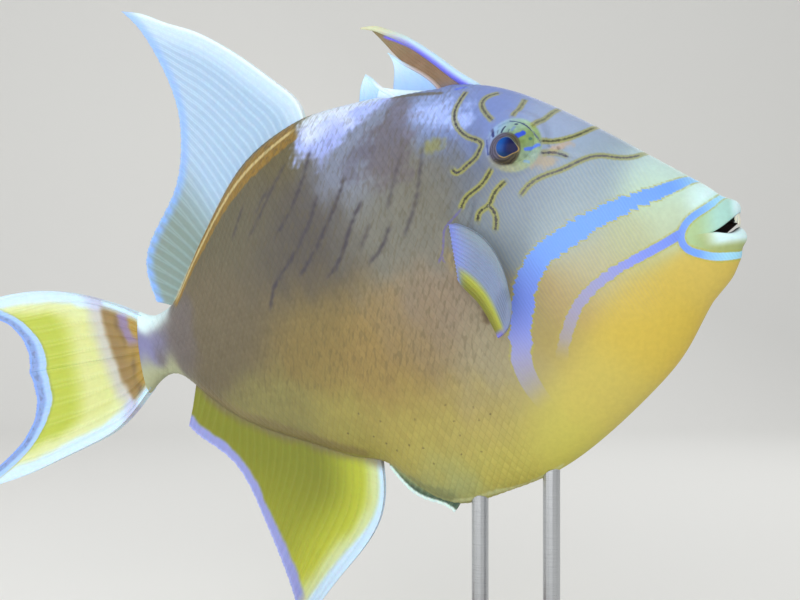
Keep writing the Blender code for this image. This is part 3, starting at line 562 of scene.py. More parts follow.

# Irregular patches, with painted highlights on the back and painted shadows in the groove and by the
# pectoral and pelvic fins among them: line, half widths along it, softness of the edge, colour and strength
PATCHES_HIGHLIGHTS_AND_SHADOWS = [
    # Painted highlight, these four: the top of the back between the dorsal fins, lavender and white where
    # light falls from above
    ([(150, 98), (164, 96), (180, 91), (194, 86)], (5, 9, 13, 12), 4.5, (0.66, 0.73, 0.98), 1.0),
    ([(152, 100), (172, 99), (196, 97)], (3, 6, 7), 3.5, (0.88, 0.94, 1.0), 0.85),
    ([(174, 90), (187, 88), (198, 90)], (4, 6, 4), 4.0, (0.88, 0.93, 1.0), 0.7),
    ([(182, 84), (186, 74)], (7, 4), 4.0, (0.62, 0.68, 0.94), 0.7),
    ([(138, 84), (127, 82), (117, 78)], (7, 8, 6), 6.0, (0.66, 0.75, 1.0), 0.9),
    ([(145, 98), (145, 87), (149, 75), (151, 64)], (6, 6.5, 12, 13), 6.0, (0.38, 0.35, 0.38), 0.7),
    ([(162, 72), (170, 64)], (6, 5), 4.0, (0.36, 0.35, 0.42), 0.55),
    # Painted shadow: the dark strip in the hollow that the first dorsal fin folds into
    ([(151, 97.5), (138, 95), (124, 92)], (1.6, 1.5, 0.8), 0.7, (0.38, 0.36, 0.30), 0.8),
    ([(126, 67), (130, 66.5)], (3, 3), 4.0, (0.54, 0.53, 0.24), 0.65),
    ([(80, 49), (75, 47)], (4, 3), 3.0, (0.72, 0.64, 0.52), 0.7),
    ([(74, 53), (66, 54.5)], (1.8, 1.2), 1.5, (0.78, 0.64, 0.50), 0.6),
    ([(124, 11), (117, 4)], (3.5, 2), 2.0, (0.56, 0.50, 0.34), 0.7),
    # Painted shadow in the gap between the pectoral fin and the body
    ([(113.5, -2), (112.5, -18)], (2.6, 1.6), 1.6, (0.36, 0.28, 0.18), 0.75),
    ([(117.5, 93), (113.5, 93)], (1.0, 1.0), 0.5, (0.30, 0.42, 0.90), 0.8),
    # Painted shadow on the body above the pelvic flap, along its root
    ([(152, -97), (160, -94), (172, -87)], (3, 3, 2), 2.0, (0.42, 0.46, 0.34), 0.35),
    ([(152, -100), (140, -99), (120, -96), (96, -88)], (1.3, 1.3, 1.0, 0.6), 0.8, (0.82, 0.84, 0.62), 0.7),
]

# Bands of the face: (behind, above) from the snout down, and half widths at even steps along them
UPPER_BAND = [
    (17, 29), (29.5, 26), (41, 23.5), (52, 20.5), (64.5, 16), (76, 10.5), (86, 4.5), (92, -3.5),
    (96, -13), (99, -25), (101, -40), (98, -53), (93, -63),
]
UPPER_BAND_WIDTHS = (2.4, 2.9, 3.4, 4.2, 4.9, 5.1, 5.0, 4.8, 4.6, 4.3, 3.6)
LOWER_BAND = [
    (26, 5.5), (34, 2), (41, -0.5), (55, -6), (65.5, -12), (74, -20.5), (80, -31), (85.5, -44),
]
LOWER_BAND_WIDTHS = (2.0, 1.9, 2.1, 2.4, 2.6, 2.6)
MOUTH_BAND = [
    (6.5, 19.5), (13.5, 15.5), (20, 12), (24.5, 7), (25.5, 3), (24, -0.5), (19, -4), (14.5, -5.7),
    (8.5, -6.7), (3, -6.6),
]
MOUTH_BAND_WIDTHS = (1.6, 1.6, 1.5, 1.5, 1.6, 1.7, 1.7, 1.6)
# From 0, blue, to 1, lavender, at even steps along each band, below 0 where it starts pale and
# over 1 where it fades out
UPPER_TONES = (-0.35, 0.0, 0.0, 0.0, 0.05, 0.1, 0.3, 0.55, 0.75, 0.95, 1.2)
LOWER_TONES = (0.3, 0.5, 0.65, 0.75, 0.8, 0.9, 1.2)
MOUTH_TONES = (-0.5, -0.25, -0.05, 0.2, 0.2, -0.2, -0.4, -0.45)
# How deep the steps of each band's edges are, next to those of the upper band
BAND_STEPS = (1.0, 0.5, 0.0)
# Where along a band the steps begin, and over what length they grow to their full depth
STEPS_FROM = 6
STEPS_GROW = 22
BAND_REACH = 11
# Distance, half width and steps where no band is, and distance, way along and strength without a line
NO_BAND = (99.0, 1.0, 0.0)
NO_LINE = (99.0, 0.0, 0.0)
# Direction square to the rows of scales of the face, as shares of behind and above
ROW_ACROSS = (0.92, -0.39)

# Dark lines that run out from the eye and over the nape: how dark, how yellow beside, how violet
LINES = [
    (1.0, 0.9, 0.1, [
        (112, 90), (114.5, 85), (117, 79.5), (116, 73.5), (112.5, 68), (109.5, 65.5), (105.7, 63.5),
        (104.7, 61.5), (105.7, 59), (108.5, 55.5), (112, 53), (115, 51), (117.5, 50.5), (119, 53),
    ]),
    (0.8, 0.9, 0.1, [(97, 86), (102.5, 84.5), (104, 82), (103, 78), (99, 71.5)]),
    (0.55, 0.9, 0.0, [(85.5, 80.5), (87.5, 75.5), (90, 71)]),
    (0.55, 0.9, 0.0, [(71.5, 73), (75, 69.5), (78, 67), (82, 64.5)]),
    (0.85, 1.0, 0.0, [(55.5, 61.5), (59, 59.5), (65.5, 57), (71.5, 56.5), (78, 57)]),
    (0.9, 0.6, 0.2, [(78.5, 51.5), (75.5, 52), (71.5, 51), (67, 48.5)]),
    (0.8, 0.9, 0.3, [
        (36, 45), (40.5, 43.5), (48, 44.5), (53, 46), (59.5, 46), (64.5, 45), (71.5, 42.5),
        (78, 41.5), (85, 39), (89.5, 34.5),
    ]),
    (1.0, 1.0, 0.0, [(101, 49.5), (107.5, 42), (114, 38), (117, 33.5)]),
    (0.7, 0.1, 1.0, [(117, 33.5), (121.5, 29), (125, 25.5), (126.5, 20), (128.5, 14), (130.5, 11)]),
    (0.7, 0.1, 1.0, [(128.3, 13.5), (127, 10.5)]),
    (0.9, 0.4, 0.2, [(121.5, 5.5), (119.5, 2.5)]),
    (1.0, 1.0, 0.0, [(95.5, 42.5), (101.5, 37), (104, 32.5), (108.5, 30.5), (110, 26.5)]),
    (1.0, 0.9, 0.1, [(104, 32.5), (102, 29.5), (102.5, 21)]),
]
LINE_REACH = 3.4
LINE_GAP = 7.0

# Thin dark streaks of the flank and how strong each is
STREAKS = [
    (0.6, [(207, 78), (222, 58), (236, 40)]),
    (0.6, [(218, 67.5), (231, 51)]),
    (0.8, [(193, 82), (199, 63), (210, 47), (219, 37)]),
    (0.9, [(188.5, 57), (196, 43), (208, 27), (220, 15.5), (226, 2)]),
    (0.9, [(173, 63), (179.5, 48.5), (185.5, 39.5), (192, 30), (206, 16)]),
    (0.9, [(164, 49), (168.5, 42.5), (174, 33), (182, 19.5), (190, 12.5)]),
    (0.6, [(161, 37), (170, 22)]),
    (0.8, [(151.5, 35.5), (153.5, 29), (161.5, 19), (166.5, 15)]),
    (0.6, [(131.5, 70), (134, 59), (138, 41), (147, 24)]),
    (0.5, [(142.5, 67.5), (150, 47), (153, 38)]),
    (0.5, [(236, 62), (247, 42)]),
]
STREAK_WIDTH = 1.1
STREAK_COLOR = (0.22, 0.20, 0.24)

DOTS = [
    (128, -56), (139, -61), (127, -62), (158, -58), (138, -68), (158, -72), (130, -77), (177, -57),
    (184, -64), (198, -61), (173, -72), (165, -70), (140, -77), (188, -52), (155, -80), (178, -68),
    (141, -53), (121, -60),
]
DOT_REACH = 4.0

# Fleshy golden band along the second dorsal fin's root, and the browner one of the anal fin
DORSAL_BAND = [(203, 94), (218, 87.5), (245, 72), (264, 53.5), (283, 32), (295, 17)]
DORSAL_BAND_WIDTHS = (7.5, 7.5, 6.5, 5.0, 4.0, 3.2)
DORSAL_BAND_COLOR = (0.55, 0.43, 0.16)
# Painted highlight: the pale line along the dorsal band, where the fin meets it
DORSAL_EDGE_HIGHLIGHT = (0.84, 0.78, 0.58)
DORSAL_SPECKS_COLOR = (0.34, 0.26, 0.16)
ANAL_BAND = [(190, -73), (215, -65), (240, -55), (266, -43), (287, -26)]
ANAL_BAND_WIDTHS = (3.0, 4.5, 5.0, 4.5, 3.0)
ANAL_BAND_COLOR = (0.50, 0.44, 0.30)
# Shades of the narrow hollows: line, colour and strength
SHADES = [
    (GILL_SLIT, (0.34, 0.36, 0.46), 0.15),
    (GROOVE, (0.50, 0.55, 0.66), 0.25),
]
SHADE_REACH = 4

UPPER_LIP = (0.66, 0.84, 0.80)
# Pale cyan-white: the upper lip's own front edge, and also a painted highlight on top of the lower lip
LIP_EDGE_AND_HIGHLIGHT = (0.86, 0.98, 1.00)
LOWER_LIP = (0.66, 0.71, 0.46)
LIP_CORNER = (0.66, 0.77, 0.56)
# Near-black painted shade for the inside of the mouth, its back wall and the throat
MOUTH_INSIDE_SHADE = (0.07, 0.04, 0.05)


def ground_colors(places, depth):
    """The ground colour at each place, blended from the named spots of the body and the lips, with a painted
    highlight on top of the lower lip and painted shade inside the mouth.
    """
    behind, above = places[:, 0], places[:, 2]
    shift = GROUND_SHIFT * ripple(folded(places), 14, 1) * ramp(behind, 60, 110)
    colors = blend_spots(behind + shift, above - shift, GROUND.values())
    lip = mix(UPPER_LIP, LIP_CORNER, ramp(behind, 8, 20))
    lip = mix(lip, LIP_EDGE_AND_HIGHLIGHT, ramp(behind, 5, 1.5))
    below = mix(LOWER_LIP, LIP_CORNER, ramp(behind, 12, 22))
    # Painted highlight along the top of the lower lip
    below = mix(below, LIP_EDGE_AND_HIGHLIGHT, ramp(above, -3.0, 0.8) * ramp(behind, 18, 9))
    lower = above < LIPS_PART
    lip[lower] = below[lower]
    colors = mix(colors, lip, ramp(depth, *LIPS_DEPTH))
    # Deep in the mouth the colour turns to the near-black painted shade
    return mix(colors, MOUTH_INSIDE_SHADE, ramp(depth, *INSIDE_SHADE_DEPTH))


def paint_patches_highlights_and_shadows(colors, grid, places):
    # Patches of colour, with painted highlights on the back and painted shadows among them
    ragged = ripple(folded(places), 8, 2) + 0.7 * ripple(folded(places), 3, 3)
    for points, widths, soft, color, strength in PATCHES_HIGHLIGHTS_AND_SHADOWS:
        near = Near(grid, places, points, max(widths) + 3 * soft)
        gap = near.distance - near.value(widths) + 0.6 * soft * ragged[near.chosen]
        share = strength * ramp(gap, soft, -soft)
        near.paint(colors, color, share)


def paint_streaks(colors, grid, places):
    uneven = ripple(folded(places), 4, 4)
    for strength, points in STREAKS:
        near = Near(grid, places, points, 4 * STREAK_WIDTH)
        width = STREAK_WIDTH * (1 + 0.35 * uneven[near.chosen])
        broken = 0.6 + 0.4 * ramp(uneven[near.chosen], -0.8, 0.4)
        share = strength * broken * np.exp(-((near.distance / width) ** 2)) * smoothstep(near.from_end() / 7)
        near.paint(colors, STREAK_COLOR, share)


def paint_roots(colors, grid, places):
    """The bands along the roots of the fins, with a painted highlight line along the dorsal band, and the
    shade in the gill slit and the groove.
    """
    uneven = ripple(folded(places), 5, 5)
    spotted = ripple(folded(places), 2.2, 6)
    bands = (
        (DORSAL_BAND, DORSAL_BAND_WIDTHS, DORSAL_BAND_COLOR, 0.6, 0.95),
        (ANAL_BAND, ANAL_BAND_WIDTHS, ANAL_BAND_COLOR, 2.2, 0.6),
    )
    for points, widths, color, soft, strength in bands:
        near = Near(grid, places, points, max(widths) + 3 * soft)
        gap = near.distance - near.value(widths) + 0.5 * uneven[near.chosen]
        share = strength * ramp(gap, soft, -soft) * smoothstep(near.from_end() / 4)
        near.paint(colors, color, share)
        if color is DORSAL_BAND_COLOR:
            front = ramp(near.along, 60, 20)
            dark = 0.45 * front * ramp(spotted[near.chosen], 0.3, 0.9) * share
            near.paint(colors, DORSAL_SPECKS_COLOR, dark)
            # Painted highlight: a pale line along the dorsal band's line
            edge = 0.75 * ramp(near.distance, 1.8, 0.6) * smoothstep(near.from_end() / 8)
            near.paint(colors, DORSAL_EDGE_HIGHLIGHT, edge)
    for points, color, strength in SHADES:
        near = Near(grid, places, points, SHADE_REACH)
        share = strength * np.exp(-(near.distance**2))
        near.paint(colors, color, share)


def paint_turrets(colors, grid, places):
    """Carries the pattern of each eye, with the painted shade along the dome's edge, on over the skin of its
    turret.
    """
    for side in (-1, 1):
        ahead, high, _, near = from_eye(grid, places, side)
        gap = np.hypot(ahead - TURRET_AHEAD, high - TURRET_UP)
        near &= gap < TURRET_RADIUS + 3
        share = ramp(gap[near], TURRET_RADIUS + 0.9, TURRET_RADIUS - 0.6)
        colors[near] = mix(colors[near], eye_colors(ahead[near], high[near]), share)


def band_fields(grid, places):
    """For the bands: distance from the middle line, half width and the way of the steps, and the tone."""
    field = np.tile(NO_BAND, (len(places), 1))
    tone = np.zeros(len(places))
    edge = np.full(len(places), np.inf)
    lines = (UPPER_BAND, LOWER_BAND, MOUTH_BAND)
    widths = (UPPER_BAND_WIDTHS, LOWER_BAND_WIDTHS, MOUTH_BAND_WIDTHS)
    tones = (UPPER_TONES, LOWER_TONES, MOUTH_TONES)
    for points, half, tone_along, stepped in zip(lines, widths, tones, BAND_STEPS):
        near = Near(grid, places, points, BAND_REACH)
        width = near.value(half)
        inside = near.distance - width
        closer = inside < edge[near.chosen]
        at = near.chosen[closer]
        edge[at] = inside[closer]
        # The steps lie square to the rows of scales, so they are deep where the band crosses the rows
        across = near.slope[:, 0] * ROW_ACROSS[0] + near.slope[:, 1] * ROW_ACROSS[1]
        steps = stepped * ramp(np.abs(across), 0.1, 0.75) * smoothstep((near.along - STEPS_FROM) / STEPS_GROW)
        field[at] = np.column_stack([near.distance, width, steps * near.side])[closer]
        tone[at] = near.value(tone_along)[closer]
    return field, tone


def line_fields(grid, places):
    """For the dark lines: distance, how far along and strength, and how dark, yellow and violet."""
    field = np.tile(NO_LINE, (len(places), 1))
    ink = np.zeros((len(places), 3))
    offset = 0.0
    for dark, yellow, violet, points in LINES:
        near = Near(grid, places, points, LINE_REACH)
        closer = near.distance < field[near.chosen, 0]
        at = near.chosen[closer]
        strength = smoothstep(near.from_end() / 1.5 + 0.3)
        field[at] = np.column_stack([near.distance, near.along + offset, strength])[closer]
        ink[at] = (dark, yellow, violet)
        offset += near.length + LINE_GAP
    return field, ink


def masks(places):
    """Where the cheek's stripes and the flank's dashes show, and how far the nearest dot is."""
    behind, above = places[:, 0], places[:, 2]
    cheek = ramp(behind, 26, 48) * ramp(behind, 114, 100) * ramp(above, 56, 40) * ramp(above, -34, -8)
    dashes = ramp(behind, 102, 122) * ramp(behind, 302, 262) * ramp(above, -62, -24)
    dots = np.full(len(places), DOT_REACH)
    for dot_behind, dot_above in DOTS:
        dots = np.minimum(dots, np.hypot(behind - dot_behind, above - dot_above))
    return np.column_stack([cheek, dashes, dots])


def end_fans(rows):
    """Triangles that close both ends of the skin, with their map corners."""
    faces = []
    corner_uv = []
    for centre, first, share in ((rows * COLUMNS, 0, 0.0), (rows * COLUMNS + 1, (rows - 1) * COLUMNS, 1.0)):
        for k in range(COLUMNS):
            pair = (first + k, first + (k + 1) % COLUMNS)
            shares = (k / COLUMNS, (k + 1) / COLUMNS)
            if share:
                pair, shares = pair[::-1], shares[::-1]
            faces.append((centre, *pair))
            corner_uv += [(share, (k + 0.5) / COLUMNS), (share, shares[0]), (share, shares[1])]
    return faces, corner_uv


def build_skin():
    """One skin over lips, head, trunk, hind body and tail root, with its relief and markings."""
    rings, depth = skin_rings()
    grid = ring_points(rings, ring_angles())
    rows = len(grid)
    arc = height_along_ring(grid).ravel()
    places = grid.reshape(-1, 3)
    behind = places[:, 0]
    tiles = np.column_stack([
        behind / SCALE_LONG + arc / SCALE_HIGH, behind / SCALE_LONG - arc / SCALE_HIGH,
        ramp(behind, *SCALES_FROM) * ramp(behind, *SCALES_TO),
    ])
    depth = np.repeat(depth, COLUMNS)
    shaped = places + relief(grid, places, tiles)[:, None] * outward(grid).reshape(-1, 3)
    raise_lids(grid, shaped)
    colors = ground_colors(places, depth)
    paint_patches_highlights_and_shadows(colors, grid, places)
    paint_streaks(colors, grid, places)
    paint_roots(colors, grid, places)
    paint_turrets(colors, grid, places)
    bands, tone = band_fields(grid, places)
    lines, ink = line_fields(grid, places)

    row, column = np.divmod(np.arange((rows - 1) * COLUMNS), COLUMNS)
    corners = [(row, column), (row + 1, column), (row + 1, column + 1), (row, column + 1)]
    uv = np.stack([np.column_stack(corner) for corner in corners], axis=1) / (rows - 1, COLUMNS)
    fans, fan_uv = end_fans(rows)
    skin = new_piece(
        "skin", np.vstack([shaped, THROAT, TAIL_END]), grid_faces(rows, COLUMNS).tolist() + fans,
        ("lips", "head", "trunk", "hind_body", "caudal_peduncle"), np.vstack([uv.reshape(-1, 2), fan_uv]),
    )

    def with_ends(values, throat, tail):
        return np.vstack([values, throat, tail])

    full = with_ends(places, THROAT, TAIL_END)
    none = (0, 0, 0)
    add_vector(skin, "place", folded(full))
    add_vector(skin, "tiles", with_ends(tiles, none, none))
    add_vector(skin, "band", with_ends(bands, NO_BAND, NO_BAND))
    add_vector(skin, "line", with_ends(lines, NO_LINE, NO_LINE))
    add_vector(skin, "ink", with_ends(ink, none, none))
    add_vector(skin, "masks", masks(full))
    wet = eye_gloss(grid, places)
    add_vector(skin, "finish", with_ends(np.column_stack([tone, wet, depth]), none, (0, 0, FLANK_DEPTH)))
    # The throat point takes the mouth's painted shade
    add_color(skin, "ground", with_ends(colors, MOUTH_INSIDE_SHADE, colors[-1:]))
    return skin, grid


# Fins

DORSAL_RAYS = 30
DORSAL_WAVE = 2.5
DORSAL_STRAIGHT = 3.0
DORSAL_LEADING = [
    (203, 96), (206, 109), (216, 121), (232, 137), (248, 151), (265, 163), (280, 171), (295, 180),
    (308, 185),
]
DORSAL_BASE = [(203, 96), (220, 91.5), (247, 76.5), (265, 57), (283, 34), (296, 17)]
DORSAL_TRAILING = [(296, 17), (303, 20), (309, 22)]
DORSAL_MARGIN = [
    (0, 308, 185), (0.09, 300, 175), (0.2, 291, 158), (0.35, 281, 130), (0.49, 279, 107),
    (0.65, 286, 80), (0.81, 304, 58), (0.92, 312, 40), (1, 309, 22),
]
ANAL_RAYS = 27
ANAL_WAVE = -2.5
ANAL_STRAIGHT = 2.0
ANAL_LEADING = [
    (188, -74), (189, -92), (193, -104), (205, -119), (220, -132), (232, -143), (246, -156),
]
ANAL_BASE = [(188, -74), (215, -64.5), (240, -54.5), (266, -42), (289, -22)]
ANAL_TRAILING = [(289, -22), (295, -38), (299, -47)]
ANAL_MARGIN = [
    (0, 246, -156), (0.3, 250, -130), (0.45, 257, -110), (0.6, 263, -95),
    (0.75, 275, -70), (0.88, 292, -55), (1, 299, -47),
]
LOBE_RAYS = 7
TAIL_ROOT_BEHIND = 319
TAIL_MIDDLE = -4
UPPER_EDGE = [
    (319, 16), (330, 22), (348, 30), (372, 38), (397, 42), (419, 42.5), (450, 42), (489, 45),
]
UPPER_MARGIN = [
    (0, 489, 45), (0.12, 458, 36), (0.25, 432, 32), (0.42, 414, 25), (0.62, 404.5, 13),
    (1, 403.5, -4),
]
LOWER_EDGE = [
    (319, -24), (333, -35.5), (345, -43), (366, -50), (393, -57), (414, -62), (446, -67), (485, -75),
]
LOWER_MARGIN = [
    (0, 485, -75), (0.12, 457, -64.5), (0.25, 434, -54.5), (0.42, 415, -43), (0.62, 403, -29),
    (1, 403.5, -4),
]
PELVIC_RAYS = 12
PELVIC_LEADING = [(148, -97), (151.5, -103), (154, -105.5)]
PELVIC_BASE = [(148, -97), (160, -94), (172, -87), (184, -75)]
PELVIC_TRAILING = [(184, -75), (184.3, -79), (184.2, -81.5)]
PELVIC_MARGIN = [
    (0, 154, -105.5), (0.12, 158, -102.3), (0.3, 166, -99), (0.62, 176, -92.5), (1, 184.2, -81.5),
]
PECTORAL_RAYS = 15
PECTORAL_UPPER = [(125, 28, 27), (117, 26, 37), (105, 18, 41.5), (97, 2, 43), (95.5, -14, 43)]
PECTORAL_LOWER = [(123, 5, 28), (119, -1, 36), (112, -10, 38.5), (107.5, -19, 40), (104.5, -27, 41)]
PECTORAL_MARGIN = [(0, 95.5, -14, 43), (0.5, 98.2, -23, 43.2), (1, 104.5, -27, 41)]
PECTORAL_BASE = [(125, 28, 27), (124.5, 17, 27.5), (123, 5, 28)]

# Thickness of the fins in millimetres: on a ray and between, at the root and at the margin
RAY_ROOT = 2.3
RAY_TIP = 0.75
WEB_ROOT = 1.5
WEB_TIP = 0.45
TAPER = 1.5
LOBE_THICKER = 1.8
# How far the margin lies back between two rays
SCALLOP = 0.35
COLUMNS_PER_RAY = 10
LOBE_COLUMNS_PER_RAY = 18
FIN_ROWS = 64
LOBE_ROWS = 130
PECTORAL_ROWS = 48
PELVIC_ROWS = 28

PALE_BLUE = (0.78, 0.90, 1.00)
BRIGHT_BLUE = (0.50, 0.66, 0.97)
# Brown band of the tail fin: (above, behind) along its front and its rear edge
TAIL_BAND_FRONT = [(-23, 311), (-20, 312), (-10, 313), (3, 316), (12, 321)]
TAIL_BAND_REAR = [(-29, 331), (-24, 335), (-7, 341), (9, 345), (21, 347)]


def fin_grid(base, margin, leading, trailing, columns, rows, wave=0.0, straight=1.0):
    """Places over a fin: columns from the leading to the trailing edge, rows to the margin.

    The higher "straight" is, the fewer rays follow the bow of the two outer ones.
    """
    u = np.linspace(0, 1, columns)
    v = np.linspace(0, 1, rows)
    root, rim = line_through(base)(u), curve(margin)(u)
    front, rear = line_through(leading)(v), line_through(trailing)(v)
    a, b = u[:, None, None], v[None, :, None]
    flat = (1 - b) * root[:, None] + b * rim[:, None]
    flat = flat + (1 - a) ** straight * (front - (1 - b) * front[0] - b * front[-1])
    flat = flat + a**straight * (rear - (1 - b) * rear[0] - b * rear[-1])
    if flat.shape[2] == 3:
        behind, above, out = np.moveaxis(flat, 2, 0)
    else:
        behind, above = np.moveaxis(flat, 2, 0)
        out = wave * b[..., 0] ** 2 * np.sin(2 * math.pi * (0.9 * a[..., 0] + 0.1))
    return np.stack([behind, out, above], axis=2)


def ray_ridges(u, v, rays):
    """1 along each ray and 0 on the web between: soft rays part in two and then in four."""
    phase = u * (rays - 1)
    offset = phase - np.round(phase)
    apart = 0.14 * ramp(v, 0.3, 0.75)
    again = 0.07 * ramp(v, 0.62, 1.0)
    width = 0.17 - 0.07 * ramp(v, 0.3, 0.6) - 0.045 * ramp(v, 0.65, 0.95)
    found = np.zeros(np.broadcast(phase, v).shape)
    for first in (-1, 1):
        for second in (-1, 1):
            gap = (offset - first * apart - second * again) / width
            found = np.maximum(found, np.exp(-(gap**2)))
    return found


class FinPlaces:
    """Where each place of a fin is: shares across and out, on a ray or not, and off each edge."""

    def __init__(self, grid, u, v, ridge):
        flat = grid.reshape(-1, 3)
        self.u = np.broadcast_to(u, ridge.shape).ravel()
        self.v = np.broadcast_to(v, ridge.shape).ravel()
        self.ridge = ridge.ravel()
        self.behind, _, self.above = flat.T
        self.places = flat
        self.front = nearest_on(grid[0], flat)[0]
        self.root = nearest_on(grid[::4, 0], flat)[0]
        self.margin = nearest_on(grid[::2, -1], flat)[0]


def build_fin(name, grid, rays, paint, replaced, thick=1.0):
    """A fin of two faces a ray's or a web's thickness apart, coloured point by point."""
    columns, rows = grid.shape[:2]
    u = np.linspace(0, 1, columns)[:, None]
    v = np.linspace(0, 1, rows)[None, :]
    ridge = ray_ridges(u, v, rays)
    to_margin = np.gradient(grid, axis=1)
    to_margin /= np.linalg.norm(to_margin, axis=2, keepdims=True)
    between = 1 - ray_ridges(u, 1.0, rays)
    grid = grid - to_margin * (SCALLOP * between * v**6)[..., None]
    normals = np.cross(np.gradient(grid, axis=0), np.gradient(grid, axis=1))
    normals /= np.linalg.norm(normals, axis=2, keepdims=True)
    left = (1 - v) ** TAPER
    ray = RAY_ROOT * thick * left + RAY_TIP * (1 - left)
    web = WEB_ROOT * thick * left + WEB_TIP * (1 - left)
    # The leading ray is a little stouter
    stout = 1 + 0.35 * np.exp(-((u * (rays - 1)) ** 2) * 2)
    half = 0.5 * (web + (ray - web) * ridge) * stout
    places = np.concatenate([
        (grid + side * half[..., None] * normals).reshape(-1, 3) for side in (-1, 1)
    ])
    count = columns * rows
    sheet = grid_faces(columns, rows, closed=False)
    shares = np.stack(np.broadcast_arrays(0.01 + 0.98 * u, 0.01 + 0.47 * v), axis=2).reshape(-1, 2)
    uv = np.concatenate([shares, shares + (0, 0.5)])
    over = sheet[:, ::-1] + count
    rim = rim_of(columns, rows)
    edge = rim_faces(rim, count)
    edge_uv = uv[edge % count]
    corner_uv = np.concatenate([uv[sheet], uv[over], edge_uv])
    faces = np.vstack([sheet, over, edge])
    fin = new_piece(name, places, faces.tolist(), replaced, corner_uv.reshape(-1, 2))
    colors = paint(FinPlaces(grid, u, v, ridge))
    add_color(fin, "paint", np.vstack([colors, colors]))
    span = np.stack(np.broadcast_arrays(u * (rays - 1), v, ridge), axis=2).reshape(-1, 3)
    add_vector(fin, "span", np.vstack([span, span]))
    full = grid.reshape(-1, 3)
    add_vector(fin, "place", np.vstack([full, full]))
    return fin


def paint_dorsal(at):
    """Pale blue rays and greyer webs, sky blue behind, greenish low down, golden at the root under a pale
    painted highlight line.
    """
    low = ramp(at.u, 0.5, 0.75)
    ray = mix((0.70, 0.82, 0.92), (0.54, 0.64, 0.64), low)
    web = mix((0.60, 0.72, 0.84), (0.47, 0.55, 0.52), low)
    colors = mix(web, ray, 0.15 + 0.75 * at.ridge)
    bright = ramp(at.front, 16, 2) * (1 - low)
    colors = mix(colors, (0.82, 0.92, 1.0), 0.75 * bright)
    colors = mix(colors, (0.90, 0.97, 1.0), 0.9 * ramp(at.front, 2.6, 0.8))
    beads = 0.5 + 0.5 * np.sin(at.u * (DORSAL_RAYS - 1) * 2 * math.pi)
    blue = ramp(at.margin, 6.5, 1.5) * (0.6 + 0.4 * low)
    colors = mix(colors, (0.50, 0.69, 0.98), blue * (1 - 0.45 * low * beads))
    colors = mix(colors, (0.62, 0.78, 1.0), 0.7 * ramp(at.margin, 1.3, 0.5))
    # Painted highlight: a pale line along the fin's root, just above its golden strip
    edge = ramp(at.root, 4.0, 2.6) * ramp(at.u, 0.02, 0.08)
    colors = mix(colors, (0.80, 0.76, 0.60), 0.7 * edge)
    return mix(colors, DORSAL_BAND_COLOR, ramp(at.root, 2.6, 1.4))


def paint_anal(at):
    """Olive yellow without clear rays, pale in front, lavender blue behind, mauve at the root."""
    uneven = ripple(at.places, 14, 11)
    front = ramp(at.front, 40, 12)
    colors = mix((0.56, 0.59, 0.12), (0.70, 0.74, 0.20), front)
    colors = mix(colors, (0.46, 0.48, 0.09), 0.8 * ramp(at.root, 56, 12) * (1 - front))
    colors = mix(colors, (0.62, 0.66, 0.22), 0.12 * at.ridge)
    wide = mix([4.5], [8.0], ramp(at.v, 0.15, 0.6))[:, 0]
    colors = mix(colors, (0.80, 0.86, 0.62), ramp(at.front + uneven, wide + 9, wide - 0.5))
    colors = mix(colors, PALE_BLUE, ramp(at.front, wide, wide - 3.5))
    rear = ramp(at.margin + 0.6 * uneven, 7.0, 4.4) * ramp(at.front, 4, 12)
    colors = mix(colors, (0.56, 0.60, 0.84), rear)
    colors = mix(colors, (0.68, 0.74, 0.98), 0.6 * ramp(at.margin, 1.4, 0.5))
    root = ramp(at.root + uneven, 9, 3)
    return mix(colors, (0.46, 0.41, 0.32), 0.75 * root)


